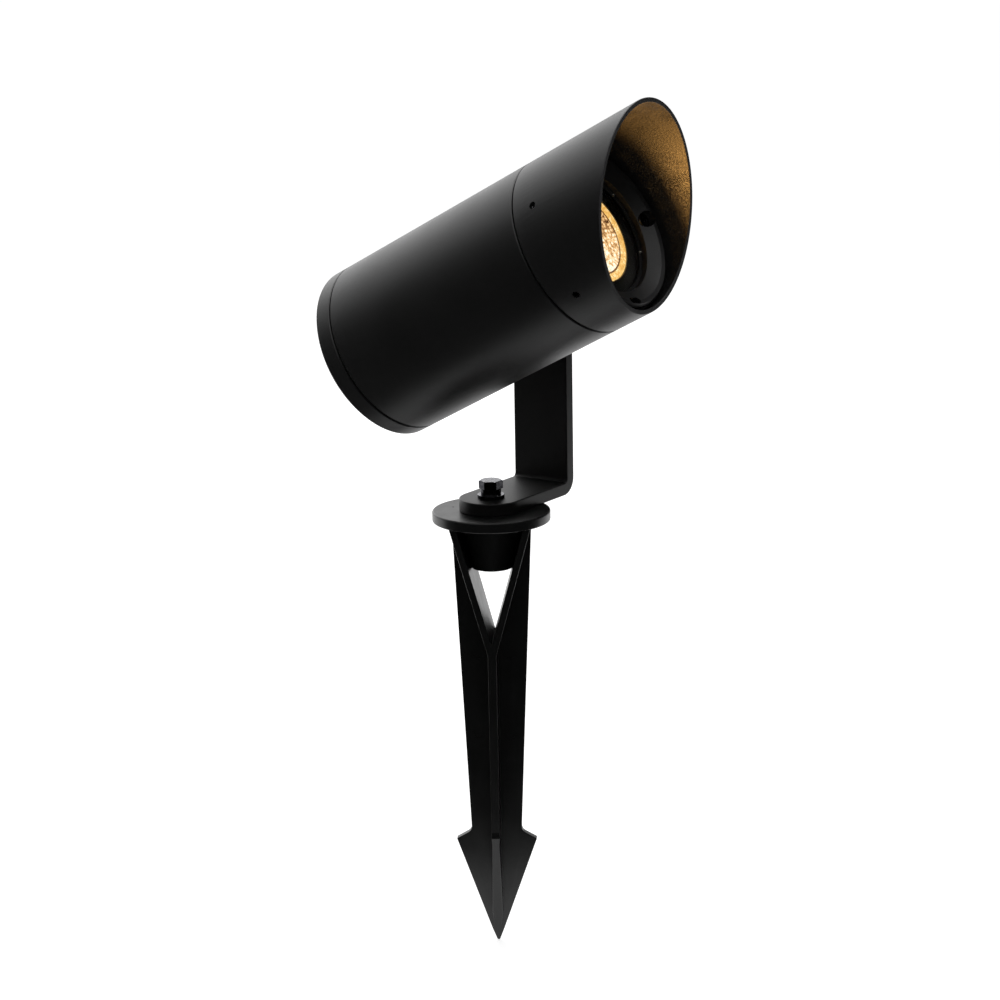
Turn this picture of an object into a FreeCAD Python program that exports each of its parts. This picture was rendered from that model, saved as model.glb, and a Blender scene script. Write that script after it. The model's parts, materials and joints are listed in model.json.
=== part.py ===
import FreeCAD, Part
import math
import os

import Sketcher

# Garden spike spotlight: a round lamp head with a slanted hood, held at one side by an
# L-shaped flat bar that is bolted to a moulded ground spike.
#
# Frame, in millimetres: the origin is the centre of the flange's underside, at ground
# level. +Z is up, the lamp head points along +X and the bar's foot runs out along +Y.
# The head's own pieces are drawn about its pivot, with +X along the light, and are then
# tilted nose up about Y.

DRIVING_SIZES = [
    # alias, size, what it is
    ("head_radius", 42.5, "outside radius of lamp head"),
    ("pivot_height", 108.1, "tilt pivot above the ground"),
    ("rest_tilt", 27.7, "angle of the light above the horizon"),
    ("front_joint", 55.2, "pivot to the middle of the housing and hood joint"),
    ("rear_joint", 61.6, "pivot to the middle of the housing and rear cap joint"),
    ("joint_gap", 0.8, "width of the shadow line at both joints"),
    ("joint_land", 1.1, "depth of the shadow line at both joints"),
    ("edge_break", 0.4, "chamfer on turned edges"),
    ("tube_wall", 3.0, "wall of the housing tube"),
    ("fit_gap", 0.3, "radial slack where one turned piece slips into another"),
    ("thread_gap", 0.05, "radial slack round a screw in its hole"),
    ("hinge_gap", 0.05, "radial slack round a pivot bolt in the bar"),
    ("hood_wall", 2.0, "wall of the hood"),
    ("hood_middle", 42.7, "front joint to the slanted mouth, along the axis"),
    ("hood_slant_angle", 27.9, "angle of the hood's mouth from square"),
    ("hood_lip_round", 0.4, "rounding of the hood's slanted lip"),
    ("grub_offset", 11.9, "front joint to the hood's grub screws"),
    ("grub_radius", 1.5, "radius of a grub screw"),
    ("grub_length", 3.2, "length of a grub screw"),
    ("grub_hole_radius", 1.7, "hole for a grub screw in the hood"),
    ("grub_angle", 61.0, "grub screws from the top and from the bottom of the hood"),
    ("grub_socket_radius", 0.87, "corner radius of a grub screw's socket"),
    ("grub_groove", 2.2, "depth of the groove that the grub screws bear in"),
    ("spigot_length", 14.2, "housing spigot beyond the front joint"),
    ("glass_wall", 8.8, "wall of the spigot round the front glass"),
    ("glass_thickness", 3.0, "thickness of the front glass"),
    ("gasket_thickness", 0.7, "thickness of both glass gaskets"),
    ("gasket_width", 2.5, "width of the front gasket"),
    ("glass_seat_width", 2.2, "width of the housing's seat behind the front glass"),
    ("bulkhead_front", 41.0, "pivot to the face that the light source sits on"),
    ("bulkhead_thickness", 5.0, "thickness of the wall behind the light source"),
    ("ring_gap", 1.9, "bezel ring to the hood's bore"),
    ("ring_width", 8.7, "width of the bezel ring"),
    ("ring_lip", 0.7, "lip of the bezel ring that presses on the gasket"),
    ("ring_bore_depth", 2.4, "bezel ring's seat to the end of its straight bore"),
    ("ring_shoulder", 3.1, "bezel ring's outside to its dished face"),
    ("ring_dish_rise", 3.8, "rise of the dished face"),
    ("ring_rim_rise", 0.5, "rise of the rim"),
    ("ring_rim_chamfer", 1.2, "chamfer outside the rim"),
    ("ring_floor", 1.3, "metal under a bezel screw's head"),
    ("bezel_screw_inset", 4.7, "bezel ring's outside to the bezel screws"),
    ("counterbore_radius", 3.75, "recess for a small screw's head"),
    ("keyhole_inset", 3.0, "bezel ring's outside to its keyhole slots"),
    ("keyhole_angle", 171.0, "angle of the lower keyhole slot from the top"),
    ("keyhole_spread_angle", 6.4, "angle between a keyhole slot's two lobes"),
    ("keyhole_small", 1.6, "radius of the slot's small lobe"),
    ("keyhole_large", 1.9, "radius of the slot's large lobe"),
    ("keyhole_depth", 5.0, "depth of a keyhole slot below the rim"),
    ("small_screw_radius", 2.0, "radius of an M4 screw"),
    ("small_head_radius", 3.5, "head radius of an M4 socket screw"),
    ("small_head_height", 4.0, "head height of an M4 socket screw"),
    ("small_socket_radius", 1.7, "corner radius of an M4 socket"),
    ("bezel_head_height", 2.2, "low head of a bezel screw"),
    ("bezel_screw_length", 10.0, "length of a bezel screw"),
    ("cap_screw_length", 22.0, "length of a rear cap screw"),
    ("cap_length", 9.8, "length of the rear cap"),
    ("cap_edge", 1.2, "chamfer round the rear cap"),
    ("cap_floor", 5.6, "thickness of the rear cap's flat"),
    ("cap_spigot_length", 8.0, "rear cap spigot inside the housing"),
    ("cap_spigot_wall", 8.7, "wall of the rear cap spigot"),
    ("cap_screw_inset", 7.9, "side of the head to the rear cap screws"),
    ("cap_screw_count", 3, "number of rear cap screws"),
    ("cap_counterbore", 4.6, "depth of the rear cap's screw recesses"),
    ("cap_boss_radius", 5.2, "radius of the housing's screw bosses"),
    ("cap_boss_length", 14.0, "length of the housing's screw bosses"),
    ("seal_offset", 4.0, "rear cap's seating face to the sealing ring"),
    ("seal_section", 1.25, "section radius of the rear sealing ring"),
    ("seal_groove", 2.3, "depth of the sealing ring's groove"),
    ("gland_thread", 6.0, "radius of the cable gland's thread"),
    ("gland_flats", 15.0, "cable gland across the flats"),
    ("gland_flange", 4.6, "length of the gland body's hexagon"),
    ("gland_sleeve", 6.0, "gland body sleeve inside the dome nut"),
    ("gland_inside", 4.0, "gland thread inside the rear cap"),
    ("gland_nut_length", 12.0, "length of the dome nut"),
    ("gland_nut_hexagon", 5.5, "length of the dome nut's hexagon"),
    ("gland_dome_length", 2.2, "length of the dome nut's rounded end"),
    ("gland_dome_draft", 0.5, "narrowing of the dome nut up to its rounded end"),
    ("gland_dome_end", 5.4, "end radius of the dome nut"),
    ("gland_mouth", 4.2, "mouth radius of the dome nut"),
    ("gland_bore", 4.3, "bore radius of the gland body"),
    ("gland_seal_bore", 3.25, "radius of the cable that the gland grips"),
    ("gland_seal_length", 9.0, "length of the rubber sleeve in the gland"),
    ("locknut_thickness", 3.0, "thickness of the gland's lock nut"),
    ("lens_inset", 7.0, "housing bore to the lens"),
    ("lens_rim", 1.7, "straight rim of the lens"),
    ("lens_pocket_gap", 0.6, "lens pocket round the light source"),
    ("lens_foot_wall", 1.6, "wall of the lens beside the light source"),
    ("lens_pocket_depth", 7.5, "depth of the pocket in the lens"),
    ("lens_pocket_dome", 1.5, "rise of the pocket's domed end"),
    ("lens_pocket_draft", 0.8, "narrowing of the pocket up to its domed end"),
    ("lens_lift", 1.6, "lens above the circuit board"),
    ("optic_gap", 0.4, "lens and holder below the front glass"),
    ("holder_wall", 2.0, "wall of the lens holder's skirt"),
    ("holder_inset", 2.2, "housing bore to the lens holder's skirt"),
    ("holder_flange", 1.6, "thickness of the lens holder's flange"),
    ("pad_thickness", 0.5, "thickness of the thermal pad"),
    ("board_radius", 17.5, "radius of the circuit board"),
    ("board_thickness", 1.6, "thickness of the circuit board"),
    ("source_radius", 7.0, "radius of the light source"),
    ("source_thickness", 1.4, "thickness of the light source"),
    ("board_screw_circle", 13.5, "axis to the board screws"),
    ("tiny_screw_radius", 1.5, "radius of an M3 screw"),
    ("tiny_head_radius", 2.75, "head radius of an M3 screw"),
    ("tiny_head_height", 1.8, "head height of an M3 screw"),
    ("board_screw_length", 6.0, "length of a board screw"),
    ("wire_hole_radius", 3.0, "wire hole in the bulkhead"),
    ("wire_hole_circle", 21.5, "axis to the wire hole"),
    ("driver_length", 54.0, "length of the driver's case"),
    ("driver_width", 36.0, "width of the driver's case"),
    ("driver_height", 25.0, "height of the driver's case"),
    ("driver_ear_length", 52.0, "width of the driver over its ears"),
    ("driver_ear_thickness", 3.0, "thickness of the driver's ears"),
    ("driver_ear_height", 12.0, "height of the driver's ears"),
    ("driver_screw_offset", 22.0, "axis to the driver's screws"),
    ("driver_screw_length", 7.0, "length of a driver screw"),
    ("terminal_length", 9.0, "length of the terminal block"),
    ("terminal_width", 24.0, "width of the terminal block"),
    ("terminal_height", 14.0, "height of the terminal block"),
    ("pivot_boss_radius", 11.0, "radius of the boss behind the tilt pivot"),
    ("pivot_boss_depth", 9.7, "depth of the boss behind the tilt pivot"),
    ("spacer_radius", 11.8, "radius of the friction washer at the pivot"),
    ("spacer_thickness", 2.5, "thickness of the friction washer"),
    ("spotface_gap", 0.4, "radial slack of the milled flat round the friction washer"),
    ("arm_gap", 0.7, "bar to the side of the head"),
    ("bar_width", 30.2, "width of the flat bar"),
    ("bar_thickness", 6.0, "thickness of the flat bar"),
    ("bend_inside", 2.0, "inside radius of the bar's bend"),
    ("bend_outside", 8.0, "outside radius of the bar's bend"),
    ("bar_edge", 0.5, "rounding of the bar's long edges"),
    ("bolt_radius", 3.0, "radius of an M6 bolt"),
    ("bolt_flats", 10.0, "M6 hexagon across the flats"),
    ("bolt_head_height", 4.0, "height of an M6 hexagon head"),
    ("bolt_face_radius", 4.75, "radius of the flat on a hexagon head"),
    ("bolt_corner_angle", 30.0, "angle of the chamfer on a hexagon head's corners"),
    ("base_bolt_length", 25.0, "length of the base bolt"),
    ("tilt_bolt_length", 20.0, "length of the tilt bolt"),
    ("washer_radius", 6.4, "radius of a flat washer"),
    ("washer_bore", 3.2, "bore radius of a flat washer"),
    ("washer_thickness", 1.6, "thickness of a flat washer"),
    ("spring_radius", 5.6, "radius of a spring washer"),
    ("spring_bore", 3.1, "bore radius of a spring washer"),
    ("spring_thickness", 1.6, "thickness of a spring washer"),
    ("spring_slit", 1.0, "slit of a spring washer"),
    ("nut_height", 6.0, "height of the base nut"),
    ("nut_seat", 8.0, "plastic between the flange's top and the base nut"),
    ("nut_gap", 0.15, "slack round the base nut in its pocket"),
    ("flange_radius", 28.0, "radius of the spike's flange"),
    ("flange_thickness", 5.0, "thickness of the spike's flange"),
    ("flange_edge", 0.8, "rounding of the flange's edges"),
    ("spike_turn_angle", 31.0, "angle of the spike's flat blade from the head's heading"),
    ("spike_length", 212.6, "ground level to the tip"),
    ("blade_thickness", 4.0, "thickness of both blades"),
    ("blade_top", 18.9, "half width of the blades at ground level"),
    ("blade_bottom", 12.05, "half width of the blades at the shoulders"),
    ("shoulder_depth", 155.2, "ground level to the shoulders"),
    ("barb_half", 19.5, "half width of the arrow head"),
    ("barb_drop", 4.2, "shoulder to the arrow head's widest point"),
    ("barb_round", 3.5, "rounding where the shoulders start"),
    ("cross_step", 1.1, "step of the cross blade at its shoulder"),
    ("fin_root_half", 1.75, "half thickness of the cross blade below the shoulder"),
    ("fin_low_half", 2.6, "half thickness of the cross blade near the tip"),
    ("fin_low_depth", 197.0, "ground level to that thickest point"),
    ("tip_half", 0.6, "half width of the blunt tip"),
    ("socket_top", 15.7, "socket radius at ground level"),
    ("socket_bottom", 9.8, "socket radius at its lower end"),
    ("socket_depth", 23.0, "depth of the socket below the flange"),
    ("window_top", 15.8, "half width between the legs at ground level"),
    ("window_depth", 58.0, "ground level to where the legs meet"),
    ("leg_width", 3.3, "width of each slanted leg"),
    ("mark_radius", 2.6, "radius of the round mould marks"),
    ("mark_depth", 0.3, "depth of the round mould marks"),
    ("mark_offset", 7.7, "mould marks from the middle of the flat blade"),
    ("upper_mark_depth", 65.5, "ground level to the upper mould marks"),
    ("lower_mark_depth", 105.5, "ground level to the lower mould marks"),
]

# How far the lens's flank has swelled at each share of its depth.
LENS_FLANK = [(0.0, 0.0), (0.25, 0.38), (0.5, 0.62), (0.75, 0.82), (1.0, 1.0)]

document = FreeCAD.newDocument("GardenSpikeSpotlight")
sheet = document.addObject("Spreadsheet::Sheet", "Sizes")


class Size:
    """A number together with the formula that ties it to the sheet."""

    def __init__(self, value, formula):
        self.value = float(value)
        self.formula = formula

    def __add__(self, other):
        other = as_size(other)
        return Size(self.value + other.value, f"({self.formula} + {other.formula})")

    def __sub__(self, other):
        other = as_size(other)
        return Size(self.value - other.value, f"({self.formula} - {other.formula})")

    def __mul__(self, other):
        other = as_size(other)
        return Size(self.value * other.value, f"({self.formula} * {other.formula})")

    def __truediv__(self, other):
        other = as_size(other)
        return Size(self.value / other.value, f"({self.formula} / {other.formula})")

    def __neg__(self):
        return Size(-self.value, f"(0 - {self.formula})")

    def __radd__(self, other):
        return as_size(other) + self

    def __rsub__(self, other):
        return as_size(other) - self

    def __rmul__(self, other):
        return as_size(other) * self


def as_size(value):
    return value if isinstance(value, Size) else Size(value, f"{float(value):.9g}")


def cosine(angle):
    angle = as_size(angle)
    return Size(math.cos(math.radians(angle.value)), f"cos({angle.formula})")


def sine(angle):
    angle = as_size(angle)
    return Size(math.sin(math.radians(angle.value)), f"sin({angle.formula})")


def tangent(angle):
    angle = as_size(angle)
    return Size(math.tan(math.radians(angle.value)), f"tan({angle.formula})")


class SheetSizes:
    """The driving sizes by name, each one bound to its cell."""

    def __init__(self, rows):
        for row, (alias, size, meaning) in enumerate(rows, 1):
            sheet.set(f"A{row}", meaning)
            sheet.set(f"B{row}", str(size))
            sheet.setAlias(f"B{row}", alias)
            setattr(self, alias, Size(size, f"Sizes.{alias}"))


D = SheetSizes(DRIVING_SIZES)
document.recompute()

# ---------------------------------------------------------------- bodies and placements

nodes = []


def new_body(name):
    body = document.addObject("PartDesign::Body", name)
    body.Label = name
    nodes.append(body)
    return body


def place(body, height=0.0, axis=(0, 0, 1), angle=0.0):
    """Lift a body and turn it about an axis through its own origin."""
    turn = FreeCAD.Rotation(FreeCAD.Vector(*axis), as_size(angle).value)
    body.Placement = FreeCAD.Placement(FreeCAD.Vector(0, 0, as_size(height).value), turn)
    if isinstance(height, Size):
        body.setExpression("Placement.Base.z", height.formula)
    if isinstance(angle, Size):
        body.setExpression("Placement.Rotation.Angle", angle.formula)


def head_body(name):
    """A body of the lamp head: drawn about the pivot, then tilted nose up."""
    body = new_body(name)
    place(body, D.pivot_height, (0, -1, 0), D.rest_tilt)
    return body


def spike_body(name):
    """A body that stays with the ground spike."""
    body = new_body(name)
    place(body, 0.0, (0, 0, 1), D.spike_turn_angle)
    return body


# ---------------------------------------------------------------- sketches


def sketch_on(body, plane, name, offset=0.0, turn=0.0):
    """A sketch on an origin plane, moved along its normal and turned about its X axis."""
    sketch = body.newObject("Sketcher::SketchObject", f"{body.Name}_{name}")
    support = next(item for item in body.Origin.OriginFeatures if item.Role == plane)
    sketch.AttachmentSupport = [(support, "")]
    sketch.MapMode = "FlatFace"
    offset = as_size(offset)
    turn = as_size(turn)
    rotation = FreeCAD.Rotation(FreeCAD.Vector(1, 0, 0), turn.value)
    # The offset runs along the turned normal.
    shift_across = -sine(turn) * offset
    shift_along = cosine(turn) * offset
    shift = FreeCAD.Vector(0, shift_across.value, shift_along.value)
    sketch.AttachmentOffset = FreeCAD.Placement(shift, rotation)
    sketch.setExpression("AttachmentOffset.Base.y", shift_across.formula)
    sketch.setExpression("AttachmentOffset.Base.z", shift_along.formula)
    if turn.value != 0.0:
        sketch.setExpression("AttachmentOffset.Rotation.Angle", turn.formula)
    return sketch


def dimension(sketch, constraint, size):
    """Add a dimension and bind it to its formula."""
    index = sketch.addConstraint(constraint)
    if isinstance(size, Size):
        sketch.setExpression(f"Constraints[{index}]", size.formula)


def pin(sketch, geometry, point, across, up):
    """Hold one point of a sketch at its two coordinates."""
    for axis, kind, size in ((-2, "DistanceX", across), (-1, "DistanceY", up)):
        if isinstance(size, Size):
            dimension(sketch, Sketcher.Constraint(kind, geometry, point, size.value), size)
        elif size == 0:
            sketch.addConstraint(Sketcher.Constraint("PointOnObject", geometry, point, axis))
        else:
            sketch.addConstraint(Sketcher.Constraint(kind, geometry, point, float(size)))


def add_outline(sketch, corners):
    """A closed outline of straight lines through (across, up) corners."""
    points = [
        FreeCAD.Vector(as_size(across).value, as_size(up).value, 0) for across, up in corners
    ]
    first = sketch.GeometryCount
    for start, end in zip(points, points[1:] + points[:1]):
        sketch.addGeometry(Part.LineSegment(start, end))
    for number, (across, up) in enumerate(corners):
        line = first + number
        following = first + (number + 1) % len(corners)
        sketch.addConstraint(Sketcher.Constraint("Coincident", line, 2, following, 1))
        pin(sketch, line, 1, across, up)


def add_circle(sketch, across, up, radius):
    centre = FreeCAD.Vector(as_size(across).value, as_size(up).value, 0)
    circle = sketch.addGeometry(
        Part.Circle(centre, FreeCAD.Vector(0, 0, 1), as_size(radius).value)
    )
    pin(sketch, circle, 3, across, up)
    dimension(sketch, Sketcher.Constraint("Radius", circle, as_size(radius).value), radius)


def hexagon_corner(flats):
    """Corner radius of a hexagon, from its size across the flats."""
    return flats / math.sqrt(3)


def add_hexagon(sketch, corner, across=0.0, up=0.0):
    """A regular hexagon of that corner radius, with two corners level with its centre."""
    corners = []
    for step in range(6):
        angle = 60 * step
        corners.append((corner * cosine(angle) + across, corner * sine(angle) + up))
    add_outline(sketch, corners)


def polar(radius, angle):
    """Sketch coordinates on the head's YZ plane, the angle taken from the top."""
    return (-(radius * sine(angle)), radius * cosine(angle))


# ---------------------------------------------------------------- features


def pad(sketch, length, middle=False, backward=False):
    feature = sketch.getParent().newObject("PartDesign::Pad", f"{sketch.Name}_pad")
    feature.Profile = sketch
    feature.Length = as_size(length).value
    feature.setExpression("Length", as_size(length).formula)
    feature.Midplane = middle
    feature.Reversed = backward
    sketch.Visibility = False
    return feature


def pocket(sketch, length, middle=False, forward=False):
    """Cut along the sketch's normal when forward, and against it otherwise."""
    feature = sketch.getParent().newObject("PartDesign::Pocket", f"{sketch.Name}_pocket")
    feature.Profile = sketch
    feature.Length = as_size(length).value
    feature.setExpression("Length", as_size(length).formula)
    feature.Midplane = middle
    feature.Reversed = forward
    return feature


def revolve(sketch, axis, kind="PartDesign::Revolution"):
    feature = sketch.getParent().newObject(kind, f"{sketch.Name}_turned")
    feature.Profile = sketch
    feature.ReferenceAxis = (sketch, [axis])
    feature.Angle = 360.0
    return feature


def polar_pattern(features, sketch, count):
    body = sketch.getParent()
    feature = body.newObject("PartDesign::PolarPattern", f"{sketch.Name}_pattern")
    feature.Originals = features
    feature.Axis = (sketch, ["N_Axis"])
    feature.Angle = 360.0
    feature.Occurrences = int(as_size(count).value)
    if isinstance(count, Size):
        feature.setExpression("Occurrences", count.formula)
    body.Tip = feature
    return feature


def round_edges(body, radius, chosen):
    """Round the edges that the test picks from the body's latest shape."""
    document.recompute()
    base = body.Tip
    names = [f"Edge{n}" for n, edge in enumerate(base.Shape.Edges, 1) if chosen(edge)]
    if not names:
        raise ValueError(f"{body.Label}: no edge to round")
    feature = body.newObject("PartDesign::Fillet", f"{body.Name}_rounding")
    feature.Base = (base, names)
    feature.Radius = radius.value
    feature.setExpression("Radius", radius.formula)
    return feature


def close_to(first, second):
    return abs(as_size(first).value - as_size(second).value) < 0.02


def is_straight(edge):
    return edge.Curve.TypeId == "Part::GeomLine"


def is_round(edge, radius):
    return edge.Curve.TypeId == "Part::GeomCircle" and close_to(edge.Curve.Radius, radius)


def turned_piece(body, corners, axis="H_Axis", name="profile"):
    """A piece turned from a half profile on the XZ plane."""
    sketch = sketch_on(body, "XZ_Plane", name)
    add_outline(sketch, corners)
    return revolve(sketch, axis)


# ---------------------------------------------------------------- shared stations
# Along the head's axis, from the pivot.

HOUSING_FRONT = D.front_joint - D.joint_gap / 2
HOUSING_REAR = -(D.rear_joint - D.joint_gap / 2)
SPIGOT_FRONT = D.front_joint + D.spigot_length
GASKET_FRONT = SPIGOT_FRONT - D.ring_lip
GLASS_FRONT = GASKET_FRONT - D.gasket_thickness
GLASS_REAR = GLASS_FRONT - D.glass_thickness
GLASS_SEAT = GLASS_REAR - D.gasket_thickness
OPTIC_FRONT = GLASS_REAR - D.optic_gap
BULKHEAD_REAR = D.bulkhead_front - D.bulkhead_thickness
BOARD_REAR = D.bulkhead_front + D.pad_thickness
BOARD_FRONT = BOARD_REAR + D.board_thickness
CAP_REAR = -(D.rear_joint + D.cap_length)
CAP_FLOOR = CAP_REAR + D.cap_floor
CAP_SCREW_SEAT = CAP_REAR + D.cap_counterbore
GRUB_STATION = D.front_joint + D.grub_offset

# Radii about the head's axis.
TUBE_BORE = D.head_radius - D.tube_wall
HOOD_BORE = D.head_radius - D.hood_wall
SPIGOT_RADIUS = HOOD_BORE - D.fit_gap
JOINT_LAND = D.head_radius - D.joint_land
GLASS_POCKET = SPIGOT_RADIUS - D.glass_wall
GLASS_RADIUS = GLASS_POCKET - D.fit_gap
GASKET_BORE = GLASS_RADIUS - D.gasket_width
OPTIC_BORE = GLASS_POCKET - D.glass_seat_width
LENS_RADIUS = OPTIC_BORE - D.lens_inset
LENS_POCKET = D.source_radius + D.lens_pocket_gap
LENS_FOOT = LENS_POCKET + D.lens_foot_wall
HOLDER_SKIRT = OPTIC_BORE - D.holder_inset
RING_RADIUS = HOOD_BORE - D.ring_gap
RING_BORE = RING_RADIUS - D.ring_width
BEZEL_SCREW_CIRCLE = RING_RADIUS - D.bezel_screw_inset
KEYHOLE_CIRCLE = RING_RADIUS - D.keyhole_inset
CAP_SPIGOT = TUBE_BORE - D.fit_gap
CAP_SPIGOT_BORE = CAP_SPIGOT - D.cap_spigot_wall
CAP_SCREW_CIRCLE = D.head_radius - D.cap_screw_inset

# Across the head, from its axis towards the bar.
ARM_INSIDE = D.head_radius + D.arm_gap
ARM_OUTSIDE = ARM_INSIDE + D.bar_thickness
SPOTFACE = ARM_INSIDE - D.spacer_thickness
TILT_SPRING_SEAT = ARM_OUTSIDE + D.washer_thickness
TILT_HEAD_SEAT = TILT_SPRING_SEAT + D.spring_thickness

# Heights of the base bolt's stack, above the ground.
FOOT_TOP = D.flange_thickness + D.bar_thickness
BASE_SPRING_SEAT = FOOT_TOP + D.washer_thickness
BASE_HEAD_SEAT = BASE_SPRING_SEAT + D.spring_thickness
NUT_TOP = D.flange_thickness - D.nut_seat


# ---------------------------------------------------------------- ground spike


def make_ground_spike():
    """One moulding: flange, tapered socket, two slanted legs and crossed blades.

    The flat blade lies in the body's XZ plane and the cross blade in its YZ plane. Above
    the point where they meet, the cross blade opens into the two slanted legs.
    """
    body = spike_body("ground_spike")
    half = D.blade_thickness / 2
    leg_slope = D.window_top / D.window_depth
    legs_join = D.window_depth + (D.leg_width - half) / leg_slope

    flat = sketch_on(body, "XZ_Plane", "flat_blade")
    right = [
        (D.blade_top, 0),
        (D.blade_bottom, -D.shoulder_depth),
        (D.barb_half, -(D.shoulder_depth + D.barb_drop)),
        (D.tip_half, -D.spike_length),
    ]
    add_outline(flat, right + [(-across, up) for across, up in reversed(right)])
    pad(flat, D.blade_thickness, middle=True)

    legs = sketch_on(body, "XZ_Plane", "legs")
    right = [
        (D.window_top + D.leg_width, 0),
        (half, -legs_join),
        (half, -D.shoulder_depth),
        (D.fin_root_half, -(D.shoulder_depth + D.barb_drop)),
        (D.fin_low_half, -D.fin_low_depth),
        (D.tip_half, -D.spike_length),
    ]
    add_outline(legs, right + [(-across, up) for across, up in reversed(right)])
    pad(legs, 2 * D.flange_radius, middle=True)

    # Outside the cross blade's outline, on both sides.
    sides = sketch_on(body, "YZ_Plane", "cross_outline")
    step_depth = D.shoulder_depth - D.cross_step * 2
    blade_slope = (D.blade_top - D.blade_bottom) / D.shoulder_depth
    edge = [
        (D.blade_top, 0),
        (D.blade_top - blade_slope * step_depth, -step_depth),
        (D.blade_bottom + D.cross_step, -D.shoulder_depth),
        (D.tip_half, -D.spike_length),
        (D.flange_radius * 2, -D.spike_length),
        (D.flange_radius * 2, 0),
    ]
    for side in (1, -1):
        add_outline(sides, [(across * side, up) for across, up in edge])
    pocket(sides, D.flange_radius * 2, middle=True)

    window = sketch_on(body, "XZ_Plane", "window")
    add_outline(window, [(-D.window_top, 0), (D.window_top, 0), (0, -D.window_depth)])
    pocket(window, D.flange_radius * 2, middle=True)

    top = sketch_on(body, "XZ_Plane", "flange_and_socket")
    add_outline(
        top,
        [
            (0, D.flange_thickness),
            (D.flange_radius, D.flange_thickness),
            (D.flange_radius, 0),
            (D.socket_top, 0),
            (D.socket_bottom, -D.socket_depth),
            (0, -D.socket_depth),
        ],
    )
    revolve(top, "V_Axis")

    bolt_hole = sketch_on(body, "XY_Plane", "bolt_hole", D.flange_thickness)
    add_circle(bolt_hole, 0, 0, D.bolt_radius + D.thread_gap)
    pocket(bolt_hole, D.flange_thickness + D.socket_depth)

    nut_pocket = sketch_on(body, "XY_Plane", "nut_pocket", NUT_TOP)
    add_hexagon(nut_pocket, hexagon_corner(D.bolt_flats + 2 * D.nut_gap))
    pocket(nut_pocket, D.socket_depth + NUT_TOP)

    marks = sketch_on(body, "XZ_Plane", "mould_marks", half - D.mark_depth)
    for side in (1, -1):
        add_circle(marks, side * D.mark_offset, -D.upper_mark_depth, D.mark_radius)
        add_circle(marks, side * D.mark_offset, -D.lower_mark_depth, D.mark_radius)
    pocket(marks, D.mark_depth, forward=True)

    def flange_edge(edge):
        return is_round(edge, D.flange_radius)

    def shoulder(edge):
        middle = edge.CenterOfMass
        return (
            is_straight(edge)
            and close_to(abs(middle.x), D.blade_bottom)
            and close_to(middle.z, -D.shoulder_depth)
        )

    round_edges(body, D.flange_edge, flange_edge)
    round_edges(body, D.barb_round, shoulder)
    return body


def make_base_nut():
    """Hexagon lock nut, held in the socket."""
    body = spike_body("base_nut")
    prism = sketch_on(body, "XY_Plane", "hexagon", NUT_TOP)
    add_hexagon(prism, hexagon_corner(D.bolt_flats))
    add_circle(prism, 0, 0, D.bolt_radius + D.thread_gap)
    pad(prism, D.nut_height, backward=True)
    return body


# ---------------------------------------------------------------- bolts and washers


def make_hexagon_bolt(body, plane, seat, length, outward):
    """A hexagon bolt: its head stands on the seat and its shank runs back through it.

    outward is 1 where the sketch plane's normal points from the shank to the head.
    """
    head = sketch_on(body, plane, "head", seat * outward)
    add_hexagon(head, hexagon_corner(D.bolt_flats))
    pad(head, D.bolt_head_height, backward=outward < 0)
    shank = sketch_on(body, plane, "shank", seat * outward)
    add_circle(shank, 0, 0, D.bolt_radius)
    pad(shank, length, backward=outward > 0)


def chamfer_hexagon(body, seat, upright):
    """Turn the corners off a hexagon head, leaving a round flat on its top.

    An upright bolt stands along the body's Z axis, and the others lie along its Y axis.
    """
    top = seat + D.bolt_head_height
    beyond = hexagon_corner(D.bolt_flats) + D.fit_gap
    drop = (beyond - D.bolt_face_radius) * tangent(D.bolt_corner_angle)
    sketch = sketch_on(body, "YZ_Plane", "corners")
    corners = [(D.bolt_face_radius, top), (beyond, top), (beyond, top - drop)]
    if not upright:
        corners = [(along, out) for out, along in corners]
    add_outline(sketch, corners)
    revolve(sketch, "V_Axis" if upright else "H_Axis", "PartDesign::Groove")


def make_washer(body, plane, seat, outward, radius, bore, thickness, slit=None):
    """A flat washer, or a spring washer where a slit is given."""
    ring = sketch_on(body, plane, "ring", seat * outward)
    add_circle(ring, 0, 0, radius)
    add_circle(ring, 0, 0, bore)
    pad(ring, thickness, backward=outward < 0)
    if slit is not None:
        cut = sketch_on(body, plane, "slit", seat * outward)
        half = slit / 2
        reach = radius * 2
        add_outline(cut, [(0, -half), (reach, -half), (reach, half), (0, half)])
        pocket(cut, thickness * 2, forward=outward > 0)


def make_base_bolt_stack():
    bolt = spike_body("base_bolt")
    make_hexagon_bolt(bolt, "XY_Plane", BASE_HEAD_SEAT, D.base_bolt_length, 1)
    chamfer_hexagon(bolt, BASE_HEAD_SEAT, upright=True)
    spring = spike_body("base_spring_washer")
    make_washer(
        spring, "XY_Plane", BASE_SPRING_SEAT, 1,
        D.spring_radius, D.spring_bore, D.spring_thickness, D.spring_slit,
    )
    washer = spike_body("base_flat_washer")
    make_washer(
        washer, "XY_Plane", FOOT_TOP, 1, D.washer_radius, D.washer_bore, D.washer_thickness
    )


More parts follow.
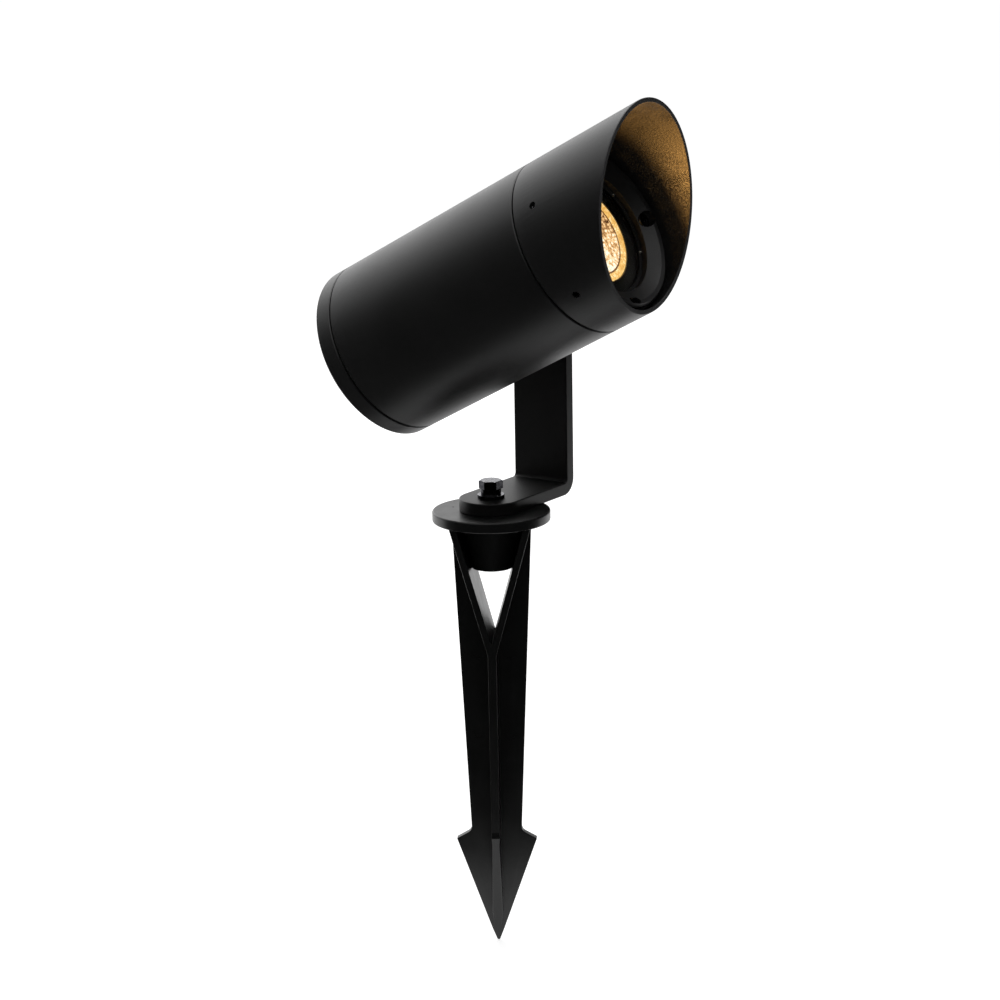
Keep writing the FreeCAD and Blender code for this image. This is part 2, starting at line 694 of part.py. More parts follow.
def make_tilt_bolt_stack():
    """The pivot bolt goes in from outside the bar. The XZ plane's normal points to -Y."""
    bolt = head_body("tilt_bolt")
    make_hexagon_bolt(bolt, "XZ_Plane", TILT_HEAD_SEAT, D.tilt_bolt_length, -1)
    chamfer_hexagon(bolt, TILT_HEAD_SEAT, upright=False)
    spring = head_body("tilt_spring_washer")
    make_washer(
        spring, "XZ_Plane", TILT_SPRING_SEAT, -1,
        D.spring_radius, D.spring_bore, D.spring_thickness, D.spring_slit,
    )
    washer = head_body("tilt_flat_washer")
    make_washer(
        washer, "XZ_Plane", ARM_OUTSIDE, -1,
        D.washer_radius, D.washer_bore, D.washer_thickness,
    )
    spacer = head_body("friction_washer")
    make_washer(
        spacer, "XZ_Plane", SPOTFACE, -1,
        D.spacer_radius, D.washer_bore, D.spacer_thickness,
    )


# ---------------------------------------------------------------- bracket


def make_bracket():
    """Flat bar bent once: a foot under the head and an arm up its far side."""
    body = new_body("bracket")
    place(body)
    half = D.bar_width / 2

    foot = sketch_on(body, "XY_Plane", "foot", D.flange_thickness)
    add_outline(foot, [(-half, 0), (half, 0), (half, ARM_OUTSIDE), (-half, ARM_OUTSIDE)])
    pad(foot, D.bar_thickness)
    foot_end = sketch_on(body, "XY_Plane", "foot_end", D.flange_thickness)
    add_circle(foot_end, 0, 0, half)
    pad(foot_end, D.bar_thickness)

    arm = sketch_on(body, "XZ_Plane", "arm", -ARM_INSIDE)
    low = D.flange_thickness
    high = D.pivot_height
    add_outline(arm, [(-half, low), (half, low), (half, high), (-half, high)])
    pad(arm, D.bar_thickness, backward=True)
    arm_end = sketch_on(body, "XZ_Plane", "arm_end", -ARM_INSIDE)
    add_circle(arm_end, 0, high, half)
    pad(arm_end, D.bar_thickness, backward=True)

    base_hole = sketch_on(body, "XY_Plane", "base_hole", D.flange_thickness)
    add_circle(base_hole, 0, 0, D.bolt_radius + D.hinge_gap)
    pocket(base_hole, D.bar_thickness, forward=True)
    tilt_hole = sketch_on(body, "XZ_Plane", "tilt_hole", -ARM_INSIDE)
    add_circle(tilt_hole, 0, high, D.bolt_radius + D.hinge_gap)
    pocket(tilt_hole, D.bar_thickness)

    def bend(across, up):
        def chosen(edge):
            middle = edge.CenterOfMass
            return is_straight(edge) and close_to(middle.y, across) and close_to(middle.z, up)

        return chosen

    def long_edge(edge):
        if is_straight(edge):
            along_bend = close_to(abs(edge.tangentAt(edge.FirstParameter).x), 1)
            return edge.Length > D.bar_thickness.value * 2 and not along_bend
        return not is_round(edge, D.bolt_radius + D.hinge_gap)

    round_edges(body, D.bend_outside, bend(ARM_OUTSIDE, D.flange_thickness))
    round_edges(body, D.bend_inside, bend(ARM_INSIDE, FOOT_TOP))
    round_edges(body, D.bar_edge, long_edge)
    return body


# ---------------------------------------------------------------- lamp housing


def make_housing():
    """Turned tube with a spigot for the hood, a bulkhead and screw bosses."""
    body = head_body("housing")
    groove = D.grub_radius + D.fit_gap / 2
    turned_piece(
        body,
        [
            (HOUSING_REAR, TUBE_BORE),
            (HOUSING_REAR, D.head_radius - D.edge_break),
            (HOUSING_REAR + D.edge_break, D.head_radius),
            (HOUSING_FRONT - D.edge_break, D.head_radius),
            (HOUSING_FRONT, D.head_radius - D.edge_break),
            (HOUSING_FRONT, SPIGOT_RADIUS),
            (GRUB_STATION - groove, SPIGOT_RADIUS),
            (GRUB_STATION - groove, SPIGOT_RADIUS - D.grub_groove),
            (GRUB_STATION + groove, SPIGOT_RADIUS - D.grub_groove),
            (GRUB_STATION + groove, SPIGOT_RADIUS),
            (SPIGOT_FRONT - D.edge_break, SPIGOT_RADIUS),
            (SPIGOT_FRONT, SPIGOT_RADIUS - D.edge_break),
            (SPIGOT_FRONT, GLASS_POCKET),
            (GLASS_SEAT, GLASS_POCKET),
            (GLASS_SEAT, OPTIC_BORE),
            (D.bulkhead_front, OPTIC_BORE),
            (D.bulkhead_front, 0),
            (BULKHEAD_REAR, 0),
            (BULKHEAD_REAR, TUBE_BORE),
        ],
    )

    boss = sketch_on(body, "XZ_Plane", "pivot_boss", -SPOTFACE)
    add_circle(boss, 0, 0, D.pivot_boss_radius)
    pad(boss, D.pivot_boss_depth)
    spotface = sketch_on(body, "XZ_Plane", "spotface", -SPOTFACE)
    add_circle(spotface, 0, 0, D.spacer_radius + D.spotface_gap)
    pocket(spotface, D.head_radius)
    thread = sketch_on(body, "XZ_Plane", "pivot_thread", -SPOTFACE)
    add_circle(thread, 0, 0, D.bolt_radius + D.thread_gap)
    pocket(thread, D.pivot_boss_depth, forward=True)

    boss_rear = HOUSING_REAR + D.cap_spigot_length + D.fit_gap
    bosses = sketch_on(body, "YZ_Plane", "cap_bosses", boss_rear)
    add_circle(bosses, 0, CAP_SCREW_CIRCLE, D.cap_boss_radius)
    one_boss = pad(bosses, D.cap_boss_length)
    polar_pattern([one_boss], bosses, D.cap_screw_count)
    threads = sketch_on(body, "YZ_Plane", "cap_threads", boss_rear)
    add_circle(threads, 0, CAP_SCREW_CIRCLE, D.small_screw_radius + D.thread_gap)
    one_thread = pocket(threads, D.cap_boss_length, forward=True)
    polar_pattern([one_thread], threads, D.cap_screw_count)

    bezel_threads = sketch_on(body, "YZ_Plane", "bezel_threads", SPIGOT_FRONT)
    for side in (1, -1):
        add_circle(
            bezel_threads, side * BEZEL_SCREW_CIRCLE, 0, D.small_screw_radius + D.thread_gap
        )
    pocket(bezel_threads, D.bezel_screw_length)

    bulkhead_holes = sketch_on(body, "YZ_Plane", "bulkhead_holes", BULKHEAD_REAR)
    tiny_hole = D.tiny_screw_radius + D.thread_gap
    add_circle(bulkhead_holes, 0, -D.wire_hole_circle, D.wire_hole_radius)
    for side in (1, -1):
        add_circle(bulkhead_holes, 0, side * D.board_screw_circle, tiny_hole)
        add_circle(bulkhead_holes, side * D.driver_screw_offset, 0, tiny_hole)
    pocket(bulkhead_holes, D.bulkhead_thickness, forward=True)
    return body


# ---------------------------------------------------------------- hood


def make_hood():
    """Thin sleeve cut off on a slant, with its lower lip drawn back."""
    body = head_body("hood")
    longest = D.front_joint + D.hood_middle + D.head_radius * tangent(D.hood_slant_angle)
    full_length = longest + D.hood_wall
    turned_piece(
        body,
        [
            (HOUSING_FRONT, HOOD_BORE),
            (HOUSING_FRONT, JOINT_LAND),
            (HOUSING_FRONT + D.joint_gap, JOINT_LAND),
            (HOUSING_FRONT + D.joint_gap, D.head_radius - D.edge_break),
            (HOUSING_FRONT + D.joint_gap + D.edge_break, D.head_radius),
            (full_length, D.head_radius),
            (full_length, HOOD_BORE),
        ],
    )
    mouth = sketch_on(body, "XZ_Plane", "mouth")
    middle = D.front_joint + D.hood_middle
    reach = D.head_radius * 1.5
    lean = reach * tangent(D.hood_slant_angle)
    add_outline(
        mouth,
        [
            (middle - lean, -reach),
            (middle + lean, reach),
            (middle + lean + D.head_radius, reach),
            (middle + lean + D.head_radius, -reach),
        ],
    )
    pocket(mouth, D.head_radius * 3, middle=True)

    def slanted_lip(edge):
        return edge.Curve.TypeId == "Part::GeomEllipse"

    round_edges(body, D.hood_lip_round, slanted_lip)
    for number, angle in enumerate(grub_angles()):
        hole = sketch_on(body, "XY_Plane", f"grub_hole_{number}", SPIGOT_RADIUS, angle)
        add_circle(hole, GRUB_STATION, 0, D.grub_hole_radius)
        pocket(hole, D.head_radius, forward=True)
    return body


def grub_angles():
    return [
        D.grub_angle,
        180 - D.grub_angle,
        180 + D.grub_angle,
        360 - D.grub_angle,
    ]


def make_grub_screws():
    """Four grub screws that lock the hood on the housing's spigot."""
    body = head_body("hood_grub_screws")
    bottom = SPIGOT_RADIUS - D.grub_groove
    top = bottom + D.grub_length
    for number, angle in enumerate(grub_angles()):
        shank = sketch_on(body, "XY_Plane", f"shank_{number}", bottom, angle)
        add_circle(shank, GRUB_STATION, 0, D.grub_radius)
        pad(shank, D.grub_length)
        socket = sketch_on(body, "XY_Plane", f"socket_{number}", top, angle)
        add_hexagon(socket, D.grub_socket_radius, across=GRUB_STATION)
        pocket(socket, D.grub_radius)
    return body


# ---------------------------------------------------------------- bezel, glass and gaskets


def make_bezel_ring():
    """Dished ring that clamps the glass, with counterbores and keyhole slots."""
    body = head_body("bezel_ring")
    bore_end = SPIGOT_FRONT + D.ring_bore_depth
    dish_end = bore_end + D.ring_dish_rise
    rim = dish_end + D.ring_rim_rise
    turned_piece(
        body,
        [
            (GASKET_FRONT, RING_BORE),
            (bore_end, RING_BORE),
            (dish_end, RING_RADIUS - D.ring_shoulder),
            (rim, RING_RADIUS - D.ring_rim_chamfer),
            (rim - D.ring_rim_chamfer, RING_RADIUS),
            (SPIGOT_FRONT, RING_RADIUS),
            (SPIGOT_FRONT, GLASS_RADIUS),
            (GASKET_FRONT, GLASS_RADIUS),
        ],
    )
    seat = SPIGOT_FRONT + D.ring_floor
    recesses = sketch_on(body, "YZ_Plane", "counterbores", seat)
    holes = sketch_on(body, "YZ_Plane", "screw_holes", SPIGOT_FRONT)
    for side in (1, -1):
        add_circle(recesses, side * BEZEL_SCREW_CIRCLE, 0, D.counterbore_radius)
        add_circle(holes, side * BEZEL_SCREW_CIRCLE, 0, D.small_screw_radius + D.thread_gap)
    pocket(recesses, D.head_radius, forward=True)
    pocket(holes, D.ring_floor, forward=True)

    keyholes = sketch_on(body, "YZ_Plane", "keyholes", rim - D.keyhole_depth)
    half_spread = D.keyhole_spread_angle / 2
    large = polar(KEYHOLE_CIRCLE, D.keyhole_angle + half_spread)
    small = polar(KEYHOLE_CIRCLE, D.keyhole_angle - half_spread)
    add_circle(keyholes, *large, D.keyhole_large)
    slots = [pocket(keyholes, D.head_radius, forward=True)]
    lobes = sketch_on(body, "YZ_Plane", "keyhole_lobes", rim - D.keyhole_depth)
    add_circle(lobes, *small, D.keyhole_small)
    slots.append(pocket(lobes, D.head_radius, forward=True))
    polar_pattern(slots, keyholes, 2)
    return body


def make_bezel_screws():
    body = head_body("bezel_screws")
    seat = SPIGOT_FRONT + D.ring_floor
    heads = sketch_on(body, "YZ_Plane", "heads", seat)
    shanks = sketch_on(body, "YZ_Plane", "shanks", seat)
    sockets = sketch_on(body, "YZ_Plane", "sockets", seat + D.bezel_head_height)
    for side in (1, -1):
        across = side * BEZEL_SCREW_CIRCLE
        add_circle(heads, across, 0, D.small_head_radius)
        add_circle(shanks, across, 0, D.small_screw_radius)
        add_hexagon(sockets, D.small_socket_radius, across)
    pad(heads, D.bezel_head_height)
    pad(shanks, D.bezel_screw_length, backward=True)
    pocket(sockets, D.bezel_head_height / 2)
    return body


def make_disc(name, rear, thickness, radius, bore=None):
    """A disc or a flat ring about the head's axis."""
    body = head_body(name)
    face = sketch_on(body, "YZ_Plane", "disc", rear)
    add_circle(face, 0, 0, radius)
    if bore is not None:
        add_circle(face, 0, 0, bore)
    pad(face, thickness)
    return body


def make_glass_and_gaskets():
    make_disc("front_glass", GLASS_REAR, D.glass_thickness, GLASS_RADIUS)
    make_disc("front_gasket", GLASS_FRONT, D.gasket_thickness, GLASS_RADIUS, GASKET_BORE)
    make_disc("glass_seat_gasket", GLASS_SEAT, D.gasket_thickness, GLASS_RADIUS, OPTIC_BORE)


# ---------------------------------------------------------------- light source and lens


def make_lens():
    """Collimator lens: a bowl of clear plastic with a pocket over the light source."""
    body = head_body("lens")
    foot = BOARD_FRONT + D.lens_lift
    rim = OPTIC_FRONT - D.lens_rim
    depth = rim - foot
    swell = LENS_RADIUS - LENS_FOOT
    flank = [(foot + depth * down, LENS_FOOT + swell * out) for down, out in LENS_FLANK]
    pocket_end = foot + D.lens_pocket_depth
    turned_piece(
        body,
        [(foot, LENS_POCKET)]
        + flank
        + [
            (OPTIC_FRONT, LENS_RADIUS),
            (OPTIC_FRONT, 0),
            (pocket_end, 0),
            (pocket_end - D.lens_pocket_dome, LENS_POCKET - D.lens_pocket_draft),
        ],
    )
    return body


def make_lens_holder():
    """Dark ring round the lens, standing on the bulkhead on its skirt."""
    body = head_body("lens_holder")
    turned_piece(
        body,
        [
            (D.bulkhead_front, HOLDER_SKIRT - D.holder_wall),
            (D.bulkhead_front, HOLDER_SKIRT),
            (OPTIC_FRONT - D.holder_flange, HOLDER_SKIRT),
            (OPTIC_FRONT - D.holder_flange, OPTIC_BORE - D.fit_gap),
            (OPTIC_FRONT, OPTIC_BORE - D.fit_gap),
            (OPTIC_FRONT, LENS_RADIUS + D.fit_gap),
            (OPTIC_FRONT - D.holder_flange, LENS_RADIUS + D.fit_gap),
            (OPTIC_FRONT - D.holder_flange * 2, HOLDER_SKIRT - D.holder_wall),
        ],
    )
    return body


def make_light_source():
    pad_body = make_disc("thermal_pad", D.bulkhead_front, D.pad_thickness, D.board_radius)
    board = make_disc("led_board", BOARD_REAR, D.board_thickness, D.board_radius)
    for body, rear in ((pad_body, D.bulkhead_front), (board, BOARD_REAR)):
        holes = sketch_on(body, "YZ_Plane", "screw_holes", rear)
        for side in (1, -1):
            add_circle(
                holes, 0, side * D.board_screw_circle, D.tiny_screw_radius + D.thread_gap
            )
        pocket(holes, D.board_thickness, forward=True)
    make_disc("led_emitter", BOARD_FRONT, D.source_thickness, D.source_radius)


def make_tiny_screws(name, centres, seat, length, outward):
    """Small pan head screws along the head's axis."""
    body = head_body(name)
    heads = sketch_on(body, "YZ_Plane", "heads", seat)
    shanks = sketch_on(body, "YZ_Plane", "shanks", seat)
    for across, up in centres:
        add_circle(heads, across, up, D.tiny_head_radius)
        add_circle(shanks, across, up, D.tiny_screw_radius)
    pad(heads, D.tiny_head_height, backward=outward < 0)
    pad(shanks, length, backward=outward > 0)
    return body


def make_driver():
    """Potted driver on two ears behind the bulkhead, with its terminal block."""
    body = head_body("led_driver")
    ears = sketch_on(body, "YZ_Plane", "ears", BULKHEAD_REAR)
    add_box_outline(ears, D.driver_ear_length, D.driver_ear_height)
    pad(ears, D.driver_ear_thickness, backward=True)
    case = sketch_on(body, "YZ_Plane", "case", BULKHEAD_REAR)
    add_box_outline(case, D.driver_width, D.driver_height)
    pad(case, D.driver_length, backward=True)
    holes = sketch_on(body, "YZ_Plane", "screw_holes", BULKHEAD_REAR)
    for side in (1, -1):
        add_circle(
            holes, side * D.driver_screw_offset, 0, D.tiny_screw_radius + D.thread_gap
        )
    pocket(holes, D.driver_ear_thickness)

    block = head_body("terminal_block")
    face = sketch_on(block, "YZ_Plane", "block", BULKHEAD_REAR - D.driver_length)
    add_box_outline(face, D.terminal_width, D.terminal_height)
    pad(face, D.terminal_length, backward=True)


def add_box_outline(sketch, width, height):
    half_width = width / 2
    half_height = height / 2
    add_outline(
        sketch,
        [
            (-half_width, -half_height),
            (half_width, -half_height),
            (half_width, half_height),
            (-half_width, half_height),
        ],
    )


# ---------------------------------------------------------------- rear cap and cable gland


def make_rear_cap():
    """Plug with a flat back, a sealing groove and three sunk screws."""
    body = head_body("rear_cap")
    outer_front = HOUSING_REAR - D.joint_gap
    spigot_end = HOUSING_REAR + D.cap_spigot_length
    seal = HOUSING_REAR + D.seal_offset
    groove_half = D.seal_section + D.fit_gap / 2
    turned_piece(
        body,
        [
            (CAP_REAR, 0),
            (CAP_REAR, D.head_radius - D.cap_edge),
            (CAP_REAR + D.cap_edge, D.head_radius),
            (outer_front - D.edge_break, D.head_radius),
            (outer_front, D.head_radius - D.edge_break),
            (outer_front, JOINT_LAND),
            (HOUSING_REAR, JOINT_LAND),
            (HOUSING_REAR, CAP_SPIGOT),
            (seal - groove_half, CAP_SPIGOT),
            (seal - groove_half, CAP_SPIGOT - D.seal_groove),
            (seal + groove_half, CAP_SPIGOT - D.seal_groove),
            (seal + groove_half, CAP_SPIGOT),
            (spigot_end, CAP_SPIGOT),
            (spigot_end, CAP_SPIGOT_BORE),
            (CAP_FLOOR, CAP_SPIGOT_BORE),
            (CAP_FLOOR, 0),
        ],
    )
    gland_hole = sketch_on(body, "YZ_Plane", "gland_hole", CAP_REAR)
    add_circle(gland_hole, 0, 0, D.gland_thread + D.thread_gap)
    pocket(gland_hole, D.cap_floor, forward=True)
    recess = sketch_on(body, "YZ_Plane", "screw_recess", CAP_REAR)
    add_circle(recess, 0, CAP_SCREW_CIRCLE, D.counterbore_radius)
    one_recess = pocket(recess, D.cap_counterbore, forward=True)
    hole = sketch_on(body, "YZ_Plane", "screw_hole", CAP_REAR)
    add_circle(hole, 0, CAP_SCREW_CIRCLE, D.small_screw_radius + D.thread_gap)
    one_hole = pocket(hole, spigot_end - CAP_REAR, forward=True)
    polar_pattern([one_recess, one_hole], recess, D.cap_screw_count)
    return body


def make_cap_screws():
    body = head_body("rear_cap_screws")
    heads = sketch_on(body, "YZ_Plane", "head", CAP_SCREW_SEAT)
    add_circle(heads, 0, CAP_SCREW_CIRCLE, D.small_head_radius)
    head = pad(heads, D.small_head_height, backward=True)
    shanks = sketch_on(body, "YZ_Plane", "shank", CAP_SCREW_SEAT)
    add_circle(shanks, 0, CAP_SCREW_CIRCLE, D.small_screw_radius)
    shank = pad(shanks, D.cap_screw_length)
    sockets = sketch_on(body, "YZ_Plane", "socket", CAP_SCREW_SEAT - D.small_head_height)
    add_hexagon(sockets, D.small_socket_radius, 0, CAP_SCREW_CIRCLE)
    socket = pocket(sockets, D.small_head_height / 2, forward=True)
    polar_pattern([head, shank, socket], heads, D.cap_screw_count)
    return body


def make_rear_seal():
    body = head_body("rear_seal")
    section = sketch_on(body, "XZ_Plane", "section")
    middle = TUBE_BORE - D.seal_section - D.thread_gap
    add_circle(section, HOUSING_REAR + D.seal_offset, middle, D.seal_section)
    revolve(section, "H_Axis")
    return body


def make_cable_gland():
    """Gland body, lock nut, rubber sleeve and dome nut, empty of any cable."""
    nut_rear = CAP_REAR - D.gland_flange - D.gland_nut_length
    sleeve_end = CAP_REAR - D.gland_flange - D.gland_sleeve

    hexagon_radius = hexagon_corner(D.gland_flats)
    sleeve_length = D.gland_sleeve + D.gland_flange + D.cap_floor + D.gland_inside

    gland = head_body("gland_body")
    flange = sketch_on(gland, "YZ_Plane", "hexagon", CAP_REAR)
    add_hexagon(flange, hexagon_radius)
    pad(flange, D.gland_flange, backward=True)
    sleeve = sketch_on(gland, "YZ_Plane", "sleeve", sleeve_end)
    add_circle(sleeve, 0, 0, D.gland_thread)
    pad(sleeve, sleeve_length)
    bore = sketch_on(gland, "YZ_Plane", "bore", sleeve_end)
    add_circle(bore, 0, 0, D.gland_bore)
    pocket(bore, sleeve_length, forward=True)

    locknut = head_body("gland_lock_nut")
    ring = sketch_on(locknut, "YZ_Plane", "hexagon", CAP_FLOOR)
    add_hexagon(ring, hexagon_radius)
    add_circle(ring, 0, 0, D.gland_thread + D.thread_gap)
    pad(ring, D.locknut_thickness)

    seal = head_body("gland_seal")
    inside = D.gland_bore - D.thread_gap
    rubber = sketch_on(seal, "YZ_Plane", "sleeve", sleeve_end)
    add_circle(rubber, 0, 0, inside)
    add_circle(rubber, 0, 0, D.gland_seal_bore)
    pad(rubber, D.gland_seal_length)

    nut = head_body("gland_dome_nut")
    front = CAP_REAR - D.gland_flange
    dome_start = front - D.gland_nut_hexagon
    dome = D.gland_flats / 2
    turned_piece(
        nut,
        [
            (front, D.gland_thread + D.thread_gap),
            (front, dome),
            (dome_start, dome),
            (nut_rear + D.gland_dome_length, dome - D.gland_dome_draft),
            (nut_rear, D.gland_dome_end),
            (nut_rear, D.gland_mouth),
            (sleeve_end - D.fit_gap, D.gland_mouth),
            (sleeve_end - D.fit_gap, D.gland_thread + D.thread_gap),
        ],
    )
    hexagon = sketch_on(nut, "YZ_Plane", "hexagon", front)
    add_hexagon(hexagon, hexagon_radius)
    add_circle(hexagon, 0, 0, D.gland_thread + D.fit_gap)
    pad(hexagon, D.gland_nut_hexagon, backward=True)


# ---------------------------------------------------------------- build and write

make_ground_spike()
make_base_nut()
make_base_bolt_stack()
make_bracket()
make_tilt_bolt_stack()
make_housing()
make_hood()
make_grub_screws()
make_bezel_ring()
make_bezel_screws()
make_glass_and_gaskets()
make_lens()
make_lens_holder()
make_light_source()
make_tiny_screws(
    "board_screws",
    [(0, D.board_screw_circle), (0, -D.board_screw_circle)],
    BOARD_FRONT, D.board_screw_length, 1,
)
make_driver()
make_tiny_screws(
    "driver_screws",
    [(D.driver_screw_offset, 0), (-D.driver_screw_offset, 0)],
    BULKHEAD_REAR - D.driver_ear_thickness, D.driver_screw_length, -1,
)
make_rear_cap()
make_cap_screws()
make_rear_seal()
make_cable_gland()
document.recompute()

for item in document.Objects:
    if "Invalid" in item.State or "Error" in item.State:
        raise RuntimeError(f"{item.Label} failed: {item.State}")
    if item.TypeId in ("PartDesign::Pocket", "PartDesign::Groove"):
        removed = item.BaseFeature.Shape.Volume - item.Shape.Volume
        if removed < 1e-6:
            raise RuntimeError(f"{item.Label} cuts nothing")

os.makedirs("parts", exist_ok=True)
for node in nodes:
    if node.Shape.isNull() or not node.Shape.isValid():
        raise RuntimeError(f"{node.Label} has no valid shape")
    node.Shape.exportStep(f"parts/{node.Label}.step")
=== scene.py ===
import json
import math

import bmesh
import bpy
from mathutils import Matrix, Vector


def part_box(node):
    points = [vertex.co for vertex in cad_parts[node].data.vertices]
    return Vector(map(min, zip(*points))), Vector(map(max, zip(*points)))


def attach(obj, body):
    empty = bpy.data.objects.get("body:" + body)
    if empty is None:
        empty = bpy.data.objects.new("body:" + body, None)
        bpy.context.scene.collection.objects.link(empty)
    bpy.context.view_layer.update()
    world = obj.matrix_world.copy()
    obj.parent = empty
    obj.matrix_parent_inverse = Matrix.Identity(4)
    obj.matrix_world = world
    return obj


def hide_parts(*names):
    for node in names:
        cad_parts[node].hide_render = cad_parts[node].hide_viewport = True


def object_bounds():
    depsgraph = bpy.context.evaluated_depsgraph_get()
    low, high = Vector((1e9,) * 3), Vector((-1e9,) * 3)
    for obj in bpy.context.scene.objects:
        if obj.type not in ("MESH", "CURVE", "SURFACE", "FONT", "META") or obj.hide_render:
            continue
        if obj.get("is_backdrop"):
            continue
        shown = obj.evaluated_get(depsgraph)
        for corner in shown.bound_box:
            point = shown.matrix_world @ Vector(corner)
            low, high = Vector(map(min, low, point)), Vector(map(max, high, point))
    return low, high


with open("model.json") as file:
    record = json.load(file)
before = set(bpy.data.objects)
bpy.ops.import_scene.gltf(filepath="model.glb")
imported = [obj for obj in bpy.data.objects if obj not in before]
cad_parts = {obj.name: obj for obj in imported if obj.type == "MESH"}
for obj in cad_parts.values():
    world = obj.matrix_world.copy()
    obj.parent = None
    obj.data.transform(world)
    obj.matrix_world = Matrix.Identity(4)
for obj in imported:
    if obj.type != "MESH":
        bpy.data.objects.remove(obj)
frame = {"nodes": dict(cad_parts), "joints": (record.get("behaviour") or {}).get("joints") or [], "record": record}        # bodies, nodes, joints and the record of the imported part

bl_info = {
    "name": "Garden spike spotlight",
    "version": (1, 0, 0),
    "blender": (4, 5, 0),
    "location": "View3D > Sidebar > Spotlight",
    "description": "Finishes, small pieces and stage of a garden spike spotlight",
    "category": "Object",
}

MM = 0.001
JOINTS = {joint["name"]: joint for joint in frame["joints"]}
PIVOT_HEIGHT = JOINTS["tilt"]["pos_m"][2]
REST_TILT = math.radians(27.7)

# The head's own frame: X runs along the light from the pivot, and Z is up in the head.
HEAD = Matrix.Translation((0, 0, PIVOT_HEIGHT)) @ Matrix.Rotation(-REST_TILT, 4, "Y")

# Stations along the head in millimetres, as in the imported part.
GLASS_FRONT = 68.0
OPTIC_FRONT = 64.6
MOUTH_MIDDLE = 97.9

# The hood's mouth leans back from top to bottom. The band at its edge is as deep as the
# edge's rounding, and gets a painted highlight.
MOUTH_SLOPE = math.tan(math.radians(27.9))
LIP_DEPTH = 0.3

# Radii on the head in millimetres: inside the hood's wall, and of the lens's groove.
HOOD_WALL_MIDDLE = 41.4
GROOVE_INSIDE = 17.9
GROOVE_OUTSIDE = 18.7


def on_head(along, across=0.0, up=0.0):
    """A point given in the head's own frame, in millimetres."""
    return HEAD @ Vector((along * MM, across * MM, up * MM))


# ------------------------------------------------------------------ settings


class CoatSettings(bpy.types.PropertyGroup):
    """The powder coat on the head and the bar."""

    colour: bpy.props.FloatVectorProperty(
        name="Coat colour", description="Colour of the powder coat",
        subtype="COLOR", size=3, min=0.0, max=1.0, default=(0.0055, 0.0055, 0.0057),
    )
    roughness: bpy.props.FloatProperty(
        name="Coat roughness", description="How matt the powder coat is",
        subtype="FACTOR", min=0.0, max=1.0, default=0.44,
    )
    grain: bpy.props.FloatProperty(
        name="Coat grain", description="Size of the coat's fine grain",
        unit="LENGTH", min=0.0001, max=0.01, default=0.0004,
    )
    peel: bpy.props.FloatProperty(
        name="Coat waviness", description="Size of the soft waves that the coat sets in",
        unit="LENGTH", min=0.0005, max=0.02, default=0.0022,
    )


class MouldingSettings(bpy.types.PropertyGroup):
    """The plastic of the ground spike."""

    colour: bpy.props.FloatVectorProperty(
        name="Plastic colour", description="Colour of the moulded spike",
        subtype="COLOR", size=3, min=0.0, max=1.0, default=(0.0048, 0.005, 0.005),
    )
    roughness: bpy.props.FloatProperty(
        name="Plastic roughness", description="How matt the moulded plastic is",
        subtype="FACTOR", min=0.0, max=1.0, default=0.34,
    )
    edge: bpy.props.FloatProperty(
        name="Edge rounding", description="Rounding of the spike's moulded edges",
        unit="LENGTH", min=0.00005, max=0.001, default=0.00035,
    )


class OpticSettings(bpy.types.PropertyGroup):
    """The lit lens behind the glass."""

    pebble_pitch: bpy.props.FloatProperty(
        name="Pebble pitch", description="Distance between the lens's small pebbles",
        unit="LENGTH", min=0.0005, max=0.005, default=0.0017,
    )
    pebble_height: bpy.props.FloatProperty(
        name="Pebble height", description="Height of the lens's small pebbles",
        unit="LENGTH", min=0.0, max=0.001, default=0.0004,
    )
    light: bpy.props.FloatVectorProperty(
        name="Light colour", description="Colour of the warm white light",
        subtype="COLOR", size=3, min=0.0, max=1.0, default=(1.0, 0.5, 0.13),
    )
    strength: bpy.props.FloatProperty(
        name="Lens brightness", description="Brightness of the lens as it is looked at",
        min=0.0, max=20.0, default=1.35,
    )
    power: bpy.props.FloatProperty(
        name="Light power", description="Light that the lens throws into the hood",
        unit="POWER", min=0.0, max=20.0, default=0.235,
    )
    beam: bpy.props.FloatProperty(
        name="Beam", description="Full angle of the light",
        subtype="ANGLE", min=0.1, max=math.pi, default=math.radians(115),
    )


class HoodSettings(bpy.types.PropertyGroup):
    """How the hood sits on the housing's spigot."""

    turn: bpy.props.FloatProperty(
        name="Turn", description="How far the hood is turned on its spigot",
        subtype="ANGLE", min=-math.pi, max=math.pi, default=math.radians(4.05),
    )
    spread: bpy.props.FloatProperty(
        name="Hole spread", description="How far each grub hole moves from its neighbour",
        subtype="ANGLE", min=-0.1, max=0.1, default=math.radians(1.85),
    )
    trim: bpy.props.FloatProperty(
        name="Mouth trim", description="How much the slanted mouth is trimmed",
        unit="LENGTH", min=0.0, max=0.005, default=0.0003,
    )


